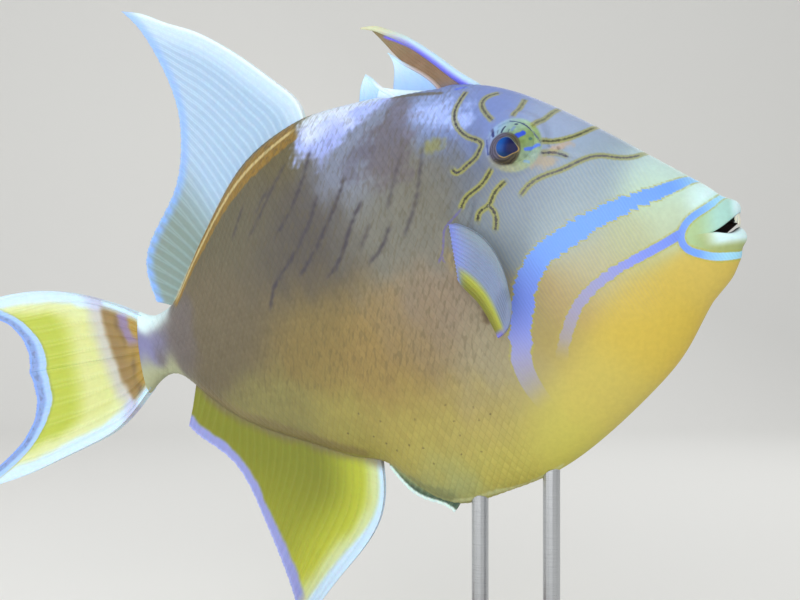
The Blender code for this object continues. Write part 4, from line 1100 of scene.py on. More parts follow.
def paint_lobe(at):
    """Yellow green between pale outer edges, a blue forked margin and a brown band by the root."""
    uneven = ripple(at.places, 12, 12)
    colors = mix((0.82, 0.85, 0.56), (0.70, 0.76, 0.26), ramp(at.margin, 40, 22))
    colors = mix(colors, (0.84, 0.88, 0.64), ramp(at.front + uneven, 17, 9))
    colors = mix(colors, (0.80, 0.91, 1.0), ramp(at.front + 0.6 * uneven, 9, 4.5))
    colors = mix(colors, (0.90, 0.92, 0.70), 0.08 * at.ridge)
    root = ramp(at.behind, 322, 317)
    collar = mix((0.62, 0.62, 0.80), (0.86, 0.95, 1.0), ramp(at.above, -2, 10))
    colors = mix(colors, collar, 0.8 * root * ramp(at.above, -2, 4))
    before = at.behind - np.interp(at.above, *np.array(TAIL_BAND_FRONT).T) + 0.7 * uneven
    behind = at.behind - np.interp(at.above, *np.array(TAIL_BAND_REAR).T) + 0.7 * uneven
    halo = ramp(behind, 14, 3) * ramp(behind, -3, 0)
    colors = mix(colors, (0.72, 0.70, 0.82), 0.6 * halo)
    band = ramp(before, -2.5, 2.5) * ramp(behind, 2.5, -2.5) * ramp(at.front, 1.5, 6)
    brown = mix((0.66, 0.53, 0.20), (0.54, 0.43, 0.25), ramp(before, 8, 24))
    violet = ramp(before, 6, 10) * ramp(before, 17, 13) * ramp(at.above, -3, 5) * ramp(at.above, 22, 18)
    brown = mix(brown, (0.50, 0.44, 0.74), 0.75 * violet)
    dark = np.exp(-(((before - 16) / 2.2) ** 2)) * ramp(uneven, -0.9, 0.5)
    brown = mix(brown, (0.32, 0.24, 0.18), 0.5 * dark)
    colors = mix(colors, brown, 0.92 * band)
    wide = 6 + 6 * ramp(at.front, 8, 40)
    share = at.margin / wide + 0.05 * uneven
    colors = mix(colors, (0.50, 0.56, 0.34), 0.35 * np.exp(-(((share - 1.05) / 0.08) ** 2)))
    blue = mix((0.50, 0.62, 0.84), (0.64, 0.79, 0.97), ramp(share, 0.4, 0.7))
    dashes = ramp(ripple(at.places, 2.6, 13), 0.0, 0.7) * ramp(share, 0.1, 0.2) * ramp(share, 0.55, 0.4)
    blue = mix(blue, (0.34, 0.42, 0.56), 0.45 * dashes)
    blue = mix(blue, BRIGHT_BLUE, ramp(share, 0.17, 0.08))
    return mix(colors, blue, ramp(share, 1.02, 0.96) * ramp(at.front, 0.5, 3))


def paint_pelvic(at):
    """Dark teal folds, their own green darkened by painted shade under the belly, with fine hair lines inside
    a pale rim.
    """
    hair = 0.5 + 0.5 * np.sin(at.u * 260 + 3 * ripple(at.places, 9, 14))
    # Dark teal: the folds' own green darkened by painted shade
    colors = mix((0.20, 0.30, 0.24), (0.36, 0.46, 0.36), 0.6 * at.ridge + 0.3 * hair)
    colors = mix(colors, (0.62, 0.64, 0.42), ramp(at.root, 5, 1))
    return mix(colors, (0.84, 0.95, 0.94), ramp(at.margin, 2.0, 0.9))


def paint_pectoral(at):
    """Violet blue at the root, clear grey blue outwards, with a yellow olive lower edge that painted shade
    darkens towards the lowest ray.
    """
    fine = 0.5 + 0.5 * np.sin(at.u * (PECTORAL_RAYS - 1) * 4 * math.pi)
    colors = mix((0.52, 0.58, 0.92), (0.46, 0.52, 0.64), ramp(at.v, 0.1, 0.45))
    colors = mix(colors, (0.50, 0.56, 0.60), ramp(at.u, 0.35, 0.0) * ramp(at.v, 0.1, 0.4))
    colors = mix(colors, (0.62, 0.70, 0.86), (0.15 + 0.15 * fine) * (0.4 + 0.6 * at.ridge))
    dashes = at.ridge * ramp(at.margin, 9, 6) * ramp(at.margin, 1.5, 3)
    colors = mix(colors, (0.30, 0.36, 0.46), 0.6 * dashes)
    # The lower rays' own yellow, darkened towards the lowest ray by painted shade
    lower = ramp(at.u, 0.62, 0.8) * ramp(at.v, 0.10, 0.4)
    colors = mix(colors, mix((0.70, 0.72, 0.22), (0.44, 0.44, 0.06), ramp(at.u, 0.7, 1.0)), 0.95 * lower)
    return mix(colors, (0.46, 0.46, 0.80), ramp(at.margin, 3.5, 0.5) * ramp(at.u, 0.5, 0.9))


def fin_sheet(base, margin, leading, trailing, rays, rows=FIN_ROWS, per_ray=COLUMNS_PER_RAY, **bend):
    """Places over a fin, as fin_grid gives them, with as many columns as its rays need."""
    return fin_grid(base, margin, leading, trailing, (rays - 1) * per_ray + 1, rows, **bend)


def build_fins():
    dorsal = fin_sheet(
        DORSAL_BASE, DORSAL_MARGIN, DORSAL_LEADING, DORSAL_TRAILING, DORSAL_RAYS,
        wave=DORSAL_WAVE, straight=DORSAL_STRAIGHT,
    )
    anal = fin_sheet(
        ANAL_BASE, ANAL_MARGIN, ANAL_LEADING, ANAL_TRAILING, ANAL_RAYS,
        wave=ANAL_WAVE, straight=ANAL_STRAIGHT,
    )
    pelvic = fin_sheet(
        PELVIC_BASE, PELVIC_MARGIN, PELVIC_LEADING, PELVIC_TRAILING, PELVIC_RAYS, PELVIC_ROWS,
    )
    dorsal_nodes = ("second_dorsal_fin_front", "second_dorsal_fin_rear")
    fins = [
        build_fin("second_dorsal_fin", dorsal, DORSAL_RAYS, paint_dorsal, dorsal_nodes),
        build_fin("anal_fin_rays", anal, ANAL_RAYS, paint_anal, ("anal_fin",)),
        build_fin("pelvic_flap", pelvic, PELVIC_RAYS, paint_pelvic, ("pelvic_fin",)),
    ]
    for name, edge, margin in (("upper", UPPER_EDGE, UPPER_MARGIN), ("lower", LOWER_EDGE, LOWER_MARGIN)):
        root = [edge[0], (TAIL_ROOT_BEHIND, TAIL_MIDDLE)]
        middle = [(TAIL_ROOT_BEHIND, TAIL_MIDDLE), (margin[-1][1], TAIL_MIDDLE)]
        grid = fin_sheet(root, margin, edge, middle, LOBE_RAYS, LOBE_ROWS, LOBE_COLUMNS_PER_RAY)
        node = "caudal_fin_" + name + "_lobe"
        fins.append(build_fin(
            "caudal_" + name + "_rays", grid, LOBE_RAYS, paint_lobe, (node,), LOBE_THICKER,
        ))
    for name, side in (("right", -1), ("left", 1)):
        grid = fin_sheet(
            PECTORAL_BASE, PECTORAL_MARGIN, PECTORAL_UPPER, PECTORAL_LOWER, PECTORAL_RAYS, PECTORAL_ROWS,
        )
        grid[..., 1] *= side
        fins.append(build_fin(
            "pectoral_rays_" + name, grid, PECTORAL_RAYS, paint_pectoral, ("pectoral_fin_" + name,),
        ))
    return fins


# Spines

FIRST_SPINE = [
    (104, 84), (107, 89), (110.2, 92.8), (118, 100), (126.8, 109.4), (137, 119.8), (144, 126),
    (152.6, 131.8), (158.2, 135), (165.5, 137),
]
FIRST_SPINE_RADII = [2.6, 2.7, 2.6, 2.5, 2.4, 2.2, 2.0, 1.7, 1.4, 0.4]
SECOND_SPINE = [
    (124, 88), (128, 95.8), (131.3, 101), (134.8, 105), (139, 108.8), (144.2, 112.9), (149, 117.3),
    (153, 121.2),
]
SECOND_SPINE_RADII = [1.3, 1.2, 1.15, 1.05, 1.0, 0.85, 0.65, 0.3]
THIRD_SPINE = [(150, 93), (154, 100), (158.8, 104), (161.4, 107), (164.2, 110.8), (166.6, 113.6)]
THIRD_SPINE_RADII = [1.2, 1.2, 1.2, 1.1, 0.9, 0.3]
SPINE_ROWS = 60
SPINE_SIDES = 24
WEB_COLUMNS = 30
WEB_ROWS = 50
WEB_FOLDS = 6
# Webs as the lines along their front and rear edges, from the root to the tip
FRONT_WEB = (
    [(111, 90), (119, 99.5), (130, 111.5), (141, 122.5), (150, 129.5), (160, 134.8)],
    [(126, 88), (133, 102), (141, 110), (149, 119), (154, 126.5), (160, 134.8)],
)
REAR_WEB = (
    [(127, 92), (134.8, 104.5), (142, 110.8), (148, 116.2), (153, 121.4)],
    [(153.5, 96), (152.4, 104.5), (150.8, 112), (151.2, 117), (153, 121.4)],
)
THIRD_WEB = (
    [(153, 95), (159, 103.5), (163, 108.8), (166.6, 113.6)],
    [(174.5, 94), (171.8, 101), (170, 107.8), (166.6, 113.6)],
)
# Low ridge that joins the second spine and the third, as the lines along its foot and its top
RIDGE = (
    [(124, 90), (138, 92), (148, 93), (164, 96)],
    [(126, 94.5), (137, 98.2), (147, 101), (160, 105.6)],
)
VIOLET_LINE = [
    (111, 92), (116.2, 98), (120, 102.5), (124.5, 107), (130.2, 112.5), (136, 117.7), (142, 122.7),
    (148.2, 126.8), (153, 129.6),
]


def spine_tube(points, radii):
    """A tapered round spine along points of the middle plane, as places, faces and colour shares."""
    table = np.array(points, float)
    share = np.linspace(0, 1, SPINE_ROWS)
    lengths = np.concatenate([[0], np.cumsum(np.linalg.norm(np.diff(table, axis=0), axis=1))])
    line = line_through(points)(share)
    radius = np.interp(share, lengths / lengths[-1], radii)
    way = np.gradient(line, axis=0)
    way /= np.linalg.norm(way, axis=1, keepdims=True)
    angle = 2 * math.pi * np.arange(SPINE_SIDES) / SPINE_SIDES
    across = radius[:, None] * np.cos(angle)
    out = radius[:, None] * np.sin(angle)
    behind = line[:, :1] - way[:, 1:] * across
    above = line[:, 1:] + way[:, :1] * across
    places = np.stack([behind, out, above], axis=2).reshape(-1, 3)
    faces = grid_faces(SPINE_ROWS, SPINE_SIDES).tolist()
    faces.append(list(range(SPINE_SIDES)))
    faces.append(list(range(len(places) - 1, len(places) - SPINE_SIDES - 1, -1)))
    return places, faces, np.repeat(share, SPINE_SIDES), np.tile(np.cos(angle), SPINE_ROWS)


def web_sheet(lines, foot, top, folds=0.0):
    """A web between two lines of the middle plane, as thick at its root and its tip as given."""
    u = np.linspace(0, 1, WEB_COLUMNS)[:, None]
    v = np.linspace(0, 1, WEB_ROWS)[None, :]
    front, rear = (line_through(line)(v[0]) for line in lines)
    flat = (1 - u[..., None]) * front[None] + u[..., None] * rear[None]
    thick = (foot + (top - foot) * v) * (1 - folds * (0.5 - 0.5 * np.cos(2 * math.pi * WEB_FOLDS * u)))
    sides = [
        np.stack([flat[..., 0], side * thick / 2, flat[..., 1]], axis=2).reshape(-1, 3)
        for side in (-1, 1)
    ]
    sheet = grid_faces(WEB_COLUMNS, WEB_ROWS, closed=False)
    count = WEB_COLUMNS * WEB_ROWS
    rim = rim_of(WEB_COLUMNS, WEB_ROWS)
    faces = np.vstack([sheet, sheet[:, ::-1] + count, rim_faces(rim, count)])
    shares = np.stack(np.broadcast_arrays(u, v), axis=2).reshape(-1, 2)
    return np.vstack(sides), faces.tolist(), np.vstack([shares, shares])


def build_spiny_fin(name, replaced, parts):
    """Spines and webs joined in one piece, each with its own colours."""
    faces = []
    count = 0
    for places, part_faces, _ in parts:
        faces += [[corner + count for corner in face] for face in part_faces]
        count += len(places)
    full = np.vstack([places for places, _, _ in parts])
    fin = new_piece(name, full, faces, replaced)
    add_color(fin, "paint", np.vstack([colors for _, _, colors in parts]))
    add_vector(fin, "place", full)
    add_vector(fin, "span", np.zeros_like(full))
    return fin


def spine_part(points, radii, front_color, rear_color, tip_color):
    """A spine with its own colours before, behind and towards the tip."""
    places, faces, share, front = spine_tube(points, radii)
    colors = mix(rear_color, front_color, ramp(front, -0.5, 0.5))
    return places, faces, mix(colors, tip_color, ramp(share, 0.55, 0.9))


def front_web_part():
    """The brown web behind the first spine, with a violet blue line along the spine."""
    places, faces, shares = web_sheet(FRONT_WEB, 1.5, 0.5, 0.35)
    v = shares[:, 1]
    uneven = ripple(places, 9, 15)
    colors = mix((0.46, 0.43, 0.52), (0.50, 0.40, 0.29), ramp(v, 0.05, 0.3))
    colors = mix(colors, (0.50, 0.46, 0.32), ramp(v, 0.5, 0.9))
    colors = mix(colors, (0.57, 0.46, 0.36), 0.4 * ramp(uneven, -0.2, 0.8))
    gap = nearest_on(np.array(VIOLET_LINE, float), places[:, [0, 2]])[0]
    colors = mix(colors, (0.40, 0.40, 0.92), ramp(gap, 1.5, 0.5) * ramp(v, 0.98, 0.8))
    return places, faces, colors


def pale_web_part(lines, foot=1.1, top=0.5):
    """A pale blue web, whiter towards its tip."""
    places, faces, shares = web_sheet(lines, foot, top, 0.3)
    return places, faces, mix((0.62, 0.78, 0.96), (0.80, 0.93, 1.0), ramp(shares[:, 1], 0.2, 0.95))


def ridge_part():
    """The low white ridge, which is drawn as a web that lies along the back."""
    places, faces, shares = web_sheet(RIDGE, 1.6, 1.6)
    thin = 1.5 - 0.9 * shares[:, 0]
    places[:, 1] *= thin
    return places, faces, mix((0.74, 0.84, 0.98), (0.90, 0.97, 1.0), ramp(shares[:, 0], 0.3, 0.9))


def build_spines():
    cream = (0.82, 0.84, 0.70)
    first = build_spiny_fin("first_dorsal_spines", ("first_dorsal_fin",), [
        spine_part(FIRST_SPINE, FIRST_SPINE_RADII, (0.76, 0.90, 1.0), (0.48, 0.48, 0.93), cream),
        spine_part(SECOND_SPINE, SECOND_SPINE_RADII, (0.68, 0.60, 0.54), (0.74, 0.70, 0.74), PALE_BLUE),
        front_web_part(),
        pale_web_part(REAR_WEB),
        ridge_part(),
    ])
    third = build_spiny_fin("third_spine_and_web", ("third_dorsal_spine",), [
        spine_part(THIRD_SPINE, THIRD_SPINE_RADII, (0.90, 0.96, 1.0), (0.84, 0.93, 1.0), PALE_BLUE),
        pale_web_part(THIRD_WEB, 1.8, 0.6),
    ])
    return [first, third]


# Eyes and teeth

EYE_ROWS = 160
EYE_SIDES = 240
# The pupil, in millimetres forward and up from the eye's axis: a drop whose tip points down
PUPIL_AHEAD = -2.2
PUPIL_UP = -3.2
PUPIL_TILT = math.radians(-21)
PUPIL_BACK = 4.5
PUPIL_FRONT = 5.8
PUPIL_HALF_HEIGHT = 4.4
CORNEA_RISE = 0.7
CORNEA_WIDTH = 6.0
# The brown ring round the pupil and the turret of skin round the eye
RING_AHEAD = -2.9
RING_UP = -3.5
RING_RADIUS = 7.5
TURRET_AHEAD = 0.8
TURRET_UP = -1.6
TURRET_RADIUS = 12.8

# Colours of the dome as (forward, up, spread, colour)
DOME = [
    (-4, 9.5, 4, (0.54, 0.66, 0.84)),
    (0.5, 8, 3, (0.56, 0.70, 0.72)),
    (5, 7.5, 3, (0.60, 0.73, 0.62)),
    (1, 4.5, 3, (0.50, 0.62, 0.46)),
    (8.5, 1.5, 3, (0.52, 0.63, 0.36)),
    (4.5, -1.5, 2.5, (0.46, 0.54, 0.28)),
    (11.5, -1, 3, (0.56, 0.66, 0.50)),
    (9.5, -7.5, 3, (0.54, 0.65, 0.62)),
    (5.5, -12, 3, (0.56, 0.63, 0.48)),
    (-3, -13, 3, (0.56, 0.58, 0.46)),
    (-9, -10, 3, (0.50, 0.52, 0.50)),
    (-12, 0, 3, (0.52, 0.58, 0.76)),
]
# Marks on the dome, two of them painted shade along its edge: half width, colour, strength and points
# (forward, up)
DOME_MARKS_AND_EDGE_SHADE = [
    (1.25, (0.22, 0.34, 0.84), 1.0, [(2.6, 0.8), (4.3, 1.6), (6.0, 2.5)]),
    (0.8, (0.36, 0.50, 0.88), 1.0, [(6.4, -5.3), (9.2, -4.6), (12.4, -3.3)]),
    (0.8, (0.42, 0.60, 0.76), 0.8, [(5.6, -10.4), (7.0, -10.9)]),
    (0.45, (0.16, 0.22, 0.34), 0.9, [(-3.7, 4.4), (-2.9, 6.0), (-2.0, 7.3)]),
    (0.75, (0.18, 0.20, 0.42), 0.85, [(-8.4, 7.4), (-8.2, 5.6), (-7.8, 3.8)]),
    (0.55, (0.20, 0.26, 0.40), 0.85, [(2.8, 7.8), (3.4, 7.7)]),
    (0.8, (0.42, 0.52, 0.76), 0.6, [(1.3, 4.8), (2.2, 5.8)]),
    (0.7, (0.26, 0.42, 0.42), 0.7, [(8.7, -0.4), (9.1, -0.1)]),
    (0.3, (0.30, 0.36, 0.46), 0.7, [(-0.6, 3.6), (0.0, 5.0)]),
    (0.3, (0.34, 0.38, 0.50), 0.6, [(-5.6, 4.6), (-5.4, 6.0)]),
    # Painted shade: the dark arc where the dome's upper rim drops to the skin
    (0.28, (0.18, 0.20, 0.48), 0.8, [
        (0.2, 10.4), (3.9, 9.1), (6.5, 7.4), (8.6, 5.3), (10.5, 2.6), (12.0, -0.3), (13.6, -3.0),
    ]),
    # Painted shade: the dark line along the rear edge of the dome
    (0.35, (0.14, 0.22, 0.50), 0.7, [(-10.9, 3.2), (-11.3, 0.0), (-10.9, -4.4)]),
]


def pupil_gap(ahead, high):
    """How far places are from the middle of the pupil, 1 on its edge, and where along it they lie."""
    long = (ahead - PUPIL_AHEAD) * math.cos(PUPIL_TILT) + (high - PUPIL_UP) * math.sin(PUPIL_TILT)
    across = (high - PUPIL_UP) * math.cos(PUPIL_TILT) - (ahead - PUPIL_AHEAD) * math.sin(PUPIL_TILT)
    narrow = 1 - 0.45 * ramp(long, 0, PUPIL_FRONT)
    length = np.where(long > 0, PUPIL_FRONT, PUPIL_BACK)
    return np.hypot(long / length, across / (PUPIL_HALF_HEIGHT * narrow)), long, across


def eye_colors(ahead, high):
    """The eye's colours by millimetres forward and up from its axis: dome, marks with painted shade along the
    dome's edge, ring, and pupil with a painted soft highlight.
    """
    flat = np.column_stack([ahead, high, np.zeros(len(ahead))])
    uneven = ripple(flat, 2.4, 21)
    colors = blend_spots(ahead, high, DOME)
    colors *= (1 + 0.05 * uneven)[:, None]
    for width, color, strength, points in DOME_MARKS_AND_EDGE_SHADE:
        line = line_through(points)(np.linspace(0, 1, 24)) if len(points) > 2 else np.array(points, float)
        gap = nearest_on(line, flat[:, :2])[0] + 0.15 * width * uneven
        colors = mix(colors, color, strength * ramp(gap, 1.25 * width, 0.65 * width))
    gap, long, across = pupil_gap(ahead, high)
    from_ring = np.hypot(ahead - RING_AHEAD, high - RING_UP)
    turn = np.arctan2(high - RING_UP, ahead - RING_AHEAD)
    streaks = 0.5 + 0.5 * np.sin(from_ring * 5.5 + 1.2 * uneven + 2 * np.cos(turn))
    ring = mix((0.28, 0.27, 0.33), (0.39, 0.38, 0.47), streaks)
    ring = mix(ring, mix((0.27, 0.26, 0.20), (0.36, 0.35, 0.26), streaks), ramp(ahead - RING_AHEAD, 0, 5))
    ring = mix(ring, mix((0.20, 0.18, 0.15), (0.30, 0.27, 0.20), streaks), ramp(high - RING_UP, -2, -6))
    colors = mix(colors, ring, ramp(from_ring, RING_RADIUS + 0.5, RING_RADIUS - 0.7))
    low_front = ramp(long - 1.2 * across, 0, 4)
    rim = ramp(gap, 1.06 + 0.08 * low_front, 1.02 + 0.05 * low_front) * ramp(gap, 0.97, 1.02)
    gold = mix((0.44, 0.42, 0.48), (0.74, 0.60, 0.34), low_front)
    gold = mix(gold, (0.60, 0.76, 0.76), ramp(across, 1, 3) * ramp(long, -3, 0))
    colors = mix(colors, gold, 0.75 * rim)
    pupil = mix((0.04, 0.30, 0.62), (0.02, 0.05, 0.26), ramp(long, -3.0, 2.5))
    # Painted soft highlight: a teal glow toward the lower side of the pupil
    pupil = mix(pupil, (0.03, 0.20, 0.34), ramp(across, -1, -4) * 0.7)
    return mix(colors, pupil, ramp(gap, 1.03, 0.97))


def eye_gloss(grid, places):
    """1 on the skin of the turrets, which is as wet as the eye, and 0 elsewhere."""
    wet = np.zeros(len(places))
    for side in (-1, 1):
        ahead, high, _, near = from_eye(grid, places, side)
        gap = np.hypot(ahead - TURRET_AHEAD, high - TURRET_UP)
        wet = np.maximum(wet, ramp(gap, TURRET_RADIUS + 1, TURRET_RADIUS - 1) * near)
    return wet


def build_eyes(grid):
    """Two flattened eyeballs with a clear bulge over the pupil, whose axis is the eye's own."""
    eyes = []
    lean = np.linspace(0, math.pi, EYE_ROWS)[1:-1, None]
    turn = 2 * math.pi * np.arange(EYE_SIDES)[None, :] / EYE_SIDES
    ahead = EYE_RADIUS * np.sin(lean) * np.cos(turn)
    high = EYE_RADIUS * np.sin(lean) * np.sin(turn)
    from_pupil = np.hypot(ahead - PUPIL_AHEAD, high - PUPIL_UP)
    bulge = np.where(np.cos(lean) > 0, CORNEA_RISE * np.exp(-((from_pupil / CORNEA_WIDTH) ** 2)), 0)
    rise = EYE_DEPTH * np.cos(lean) + bulge
    tip = EYE_DEPTH + CORNEA_RISE * math.exp(-(math.hypot(PUPIL_AHEAD, PUPIL_UP) / CORNEA_WIDTH) ** 2)
    rows = len(lean)
    front, back = rows * EYE_SIDES, rows * EYE_SIDES + 1
    last = (rows - 1) * EYE_SIDES
    flat = np.vstack([np.column_stack([ahead.ravel(), high.ravel()]), (0, 0), (0, 0)])
    colors = eye_colors(*flat.T)
    for name, side in (("right", -1), ("left", 1)):
        flank, forward, up, out = eye_frame(grid, side)
        centre = flank + out * (EYE_PROUD - EYE_DEPTH)
        body = centre + ahead[..., None] * forward + high[..., None] * up + rise[..., None] * out
        places = np.vstack([body.reshape(-1, 3), centre + out * tip, centre - out * EYE_DEPTH])
        faces = grid_faces(rows, EYE_SIDES)
        faces = (faces if side > 0 else faces[:, ::-1]).tolist()
        for k in range(EYE_SIDES):
            pair = (k, (k + 1) % EYE_SIDES)[::side]
            faces.append([front, *pair])
            faces.append([back, last + pair[1], last + pair[0]])
        eye = new_piece("eyeball_" + name, places, faces, ("eye_" + name,))
        add_color(eye, "paint", colors)
        add_vector(eye, "place", places)
        eyes.append(eye)
    return eyes


# Teeth: how far each is from the middle plane, and their shape in millimetres
TEETH_OUT = (-3.1, -1.05, 1.05, 3.1)
TOOTH_WIDTH = 2.1
TOOTH_THICKNESS = 1.3
TOOTH_TOP = (1.8, 12.6)
TOOTH_END = (2.2, 5.0)
TOOTH_CURVE = 0.07
# How much higher the cutting edge lies for each square millimetre off the middle
TOOTH_RISE = 0.25
TOOTH_SIDES = 28
TOOTH_ROWS = 24


def build_teeth():
    """The chisel teeth behind the upper lip: rounded blocks with a worn cutting edge."""
    places, faces = [], []
    turn = 2 * math.pi * np.arange(TOOTH_SIDES) / TOOTH_SIDES
    # A rounded block: a superellipse across, drawn in at the cutting edge
    wide = np.sign(np.cos(turn)) * np.abs(np.cos(turn)) ** 0.55 * TOOTH_WIDTH / 2
    deep = np.sign(np.sin(turn)) * np.abs(np.sin(turn)) ** 0.7 * TOOTH_THICKNESS / 2
    for number, out in enumerate(TEETH_OUT):
        slope = math.atan(2 * TOOTH_CURVE * out)
        for row in range(TOOTH_ROWS):
            v = row / (TOOTH_ROWS - 1)
            chisel = 1 - 0.6 * ramp(v, 0.6, 1.0)
            narrow = (1 - 0.1 * v) * (1 - 0.12 * ramp(v, 0.92, 1.0))
            behind = TOOTH_TOP[0] + (TOOTH_END[0] - TOOTH_TOP[0]) * v + TOOTH_CURVE * out**2
            above = TOOTH_TOP[1] + (TOOTH_END[1] + TOOTH_RISE * out**2 - TOOTH_TOP[1]) * v
            places.append(np.column_stack([
                behind + wide * narrow * math.sin(slope) + deep * chisel * math.cos(slope),
                out + wide * narrow * math.cos(slope) - deep * chisel * math.sin(slope),
                np.full(TOOTH_SIDES, above),
            ]))
        first = number * TOOTH_SIDES * TOOTH_ROWS
        end = first + TOOTH_SIDES * TOOTH_ROWS
        faces += (grid_faces(TOOTH_ROWS, TOOTH_SIDES) + first).tolist()
        faces.append(list(range(first, first + TOOTH_SIDES)))
        faces.append(list(range(end - 1, end - TOOTH_SIDES - 1, -1)))
    return new_piece("teeth", np.vstack(places), faces, ("upper_teeth",))


# Materials


class Shader:
    """A node material, built in few words."""

    def __init__(self, name):
        self.material = bpy.data.materials.new(name)
        self.material.use_nodes = True
        self.tree = self.material.node_tree
        self.surface = self.tree.nodes["Principled BSDF"]

    def node(self, kind, *values, **settings):
        """A node of this kind, whose first sockets take the values."""
        found = self.tree.nodes.new("ShaderNode" + kind)
        for setting, value in settings.items():
            setattr(found, setting, value)
        for socket, value in zip(found.inputs, values):
            self.feed(socket, value)
        return found

    def feed(self, socket, value):
        if isinstance(value, bpy.types.NodeSocket):
            self.tree.links.new(value, socket)
        else:
            socket.default_value = value

    def math(self, operation, *values):
        return self.node("Math", *values, operation=operation).outputs[0]

    def product(self, first, *others):
        for other in others:
            first = self.math("MULTIPLY", first, other)
        return first

    def scale_add(self, value, factor, offset):
        return self.math("MULTIPLY_ADD", value, factor, offset)

    def step(self, value, low, high):
        """0 below low and 1 above high, smooth between, or the other way round."""
        turned = float(low > high)
        ends = (min(low, high), max(low, high), turned, 1.0 - turned)
        return self.node("MapRange", value, *ends, interpolation_type="SMOOTHSTEP").outputs[0]

    def mix(self, share, first, second, blend="MIX"):
        found = self.node("Mix", share, data_type="RGBA", blend_type=blend, clamp_result=True)
        self.feed(found.inputs[6], first)
        self.feed(found.inputs[7], second)
        return found.outputs[2]

    def tinted(self, color, value):
        """The colour times a grey value."""
        return self.mix(1.0, color, self.vector(value, value, value), "MULTIPLY")

    def attribute(self, name, output="Vector"):
        return self.node("Attribute", attribute_name=name).outputs[output]

    def parts(self, vector):
        return self.node("SeparateXYZ", vector).outputs

    def vector(self, *values):
        return self.node("CombineXYZ", *values).outputs[0]

    def scaled(self, vector, *factors):
        return self.node("VectorMath", vector, factors, operation="MULTIPLY").outputs[0]

    def noise(self, vector, scale, detail=3.0, roughness=0.55):
        found = self.node("TexNoise", vector)
        for name, value in (("Scale", scale), ("Detail", detail), ("Roughness", roughness)):
            found.inputs[name].default_value = value
        return found.outputs[0]

    def chance(self, vector):
        """A random number from 0 to 1 for each different vector."""
        return self.node("TexWhiteNoise", vector, noise_dimensions="3D").outputs["Value"]

    def saw(self, value, length):
        """Runs from -0.5 to 0.5 over each length."""
        return self.math("SUBTRACT", self.math("FRACT", self.math("DIVIDE", value, length)), 0.5)

    def bump(self, height, strength, distance):
        found = self.node("Bump", strength, distance)
        self.feed(found.inputs["Height"], height)
        self.tree.links.new(found.outputs[0], self.surface.inputs["Normal"])

    def set(self, **values):
        """Sets sockets of the surface by their names, with _ for a space."""
        for name, value in values.items():
            self.feed(self.surface.inputs[name.replace("_", " ")], value)


def shade(*color):
    """A colour for a socket, from one given as on a screen."""
    return (*[float(value) for value in linear(color)], 1.0)


# Length of the steps of the bands' edges and how deep they are, in millimetres
LONG_STEP = (4.9, 1.15)
SHORT_STEP = (1.65, 0.7)
STEP_CHANCE = 1.3
STRIPE_SPACING = 1.5
# Direction across the dashes of the flank, as shares of behind and above
DASH_ACROSS = (0.95, 0.30)


def turned_by(s, way, behind, above):
    """Coordinates across and along a direction of the flank."""
    across = s.math("ADD", s.product(behind, way[0]), s.product(above, way[1]))
    along = s.math("ADD", s.product(behind, -way[1]), s.product(above, way[0]))
    return across, along


def add_scales(s, color, fine):
    """Each scale a little lighter or darker than the next, with a soft darker seam."""
    tile_u, tile_v, scaly = s.parts(s.attribute("tiles"))
    chance = s.chance(s.vector(s.math("FLOOR", tile_u), s.math("FLOOR", tile_v), 0.0))
    tint = s.scale_add(s.product(s.math("SUBTRACT", chance, 0.5), scaly), 0.10, 1.0)
    to_edge = s.math("MINIMUM", s.math("PINGPONG", tile_u, 0.5), s.math("PINGPONG", tile_v, 0.5))
    seam = s.product(s.step(to_edge, 0.12, 0.0), scaly)
    value = s.product(tint, s.scale_add(fine, 0.22, 0.89), s.scale_add(seam, -0.10, 1.0))
    return s.tinted(color, value), seam


def add_stripes(s, color, across, cheek, soft):
    """Bluish and yellowish stripes by turns along the rows of the cheek's scales."""
    wobble = s.scale_add(soft, 14.0, s.product(across, 2 * math.pi / STRIPE_SPACING))
    stripe = s.scale_add(s.math("SINE", wobble), 0.5, 0.5)
    color = s.mix(s.product(stripe, cheek, 0.12), color, shade(0.50, 0.56, 0.72))
    pale = s.product(s.math("SUBTRACT", 1.0, stripe), cheek, 0.10)
    return s.mix(pale, color, shade(0.84, 0.82, 0.62)), stripe


def add_dashes(s, color, behind, above, dashed, dots, grain):
    """Short dark dashes of the flank and the small dark dots below it."""
    across, along = turned_by(s, DASH_ACROSS, behind, above)
    spread = s.vector(s.product(across, 0.62), s.product(along, 0.17), 0.0)
    dash = s.step(s.noise(spread, 1.0, 1.5, 0.5), 0.53, 0.63)
    color = s.mix(s.product(dash, dashed, 0.30), color, shade(0.34, 0.31, 0.20))
    dot = s.step(s.math("ADD", dots, s.scale_add(grain, 0.5, -0.25)), 0.85, 0.35)
    return s.mix(s.product(dot, 0.62), color, shade(0.30, 0.25, 0.20))


def add_lines(s, color, grain, fine):
    """Dark lines of uneven width with a soft yellow border."""
    gap, along, strength = s.parts(s.attribute("line"))
    dark, yellow, violet = s.parts(s.attribute("ink"))
    wander = s.scale_add(grain, 1.3, -0.65)
    gap = s.math("ADD", gap, wander)
    knots = s.noise(s.vector(along, 0.0, 0.0), 0.55, 2.0)
    width = s.scale_add(knots, 0.9, 0.05)
    border = s.product(s.step(gap, 2.1, 1.0), strength, yellow, 0.8)
    color = s.mix(border, color, shade(0.60, 0.60, 0.24))
    inside = s.math("SUBTRACT", gap, width)
    bead = s.scale_add(s.step(knots, 0.30, 0.55), 0.3, 0.7)
    core = s.product(s.step(inside, 0.25, -0.2), strength, dark, bead)
    ink = s.mix(violet, shade(0.09, 0.08, 0.07), shade(0.36, 0.32, 0.62))
    return s.mix(s.product(core, s.scale_add(fine, 0.5, 0.62)), color, ink)


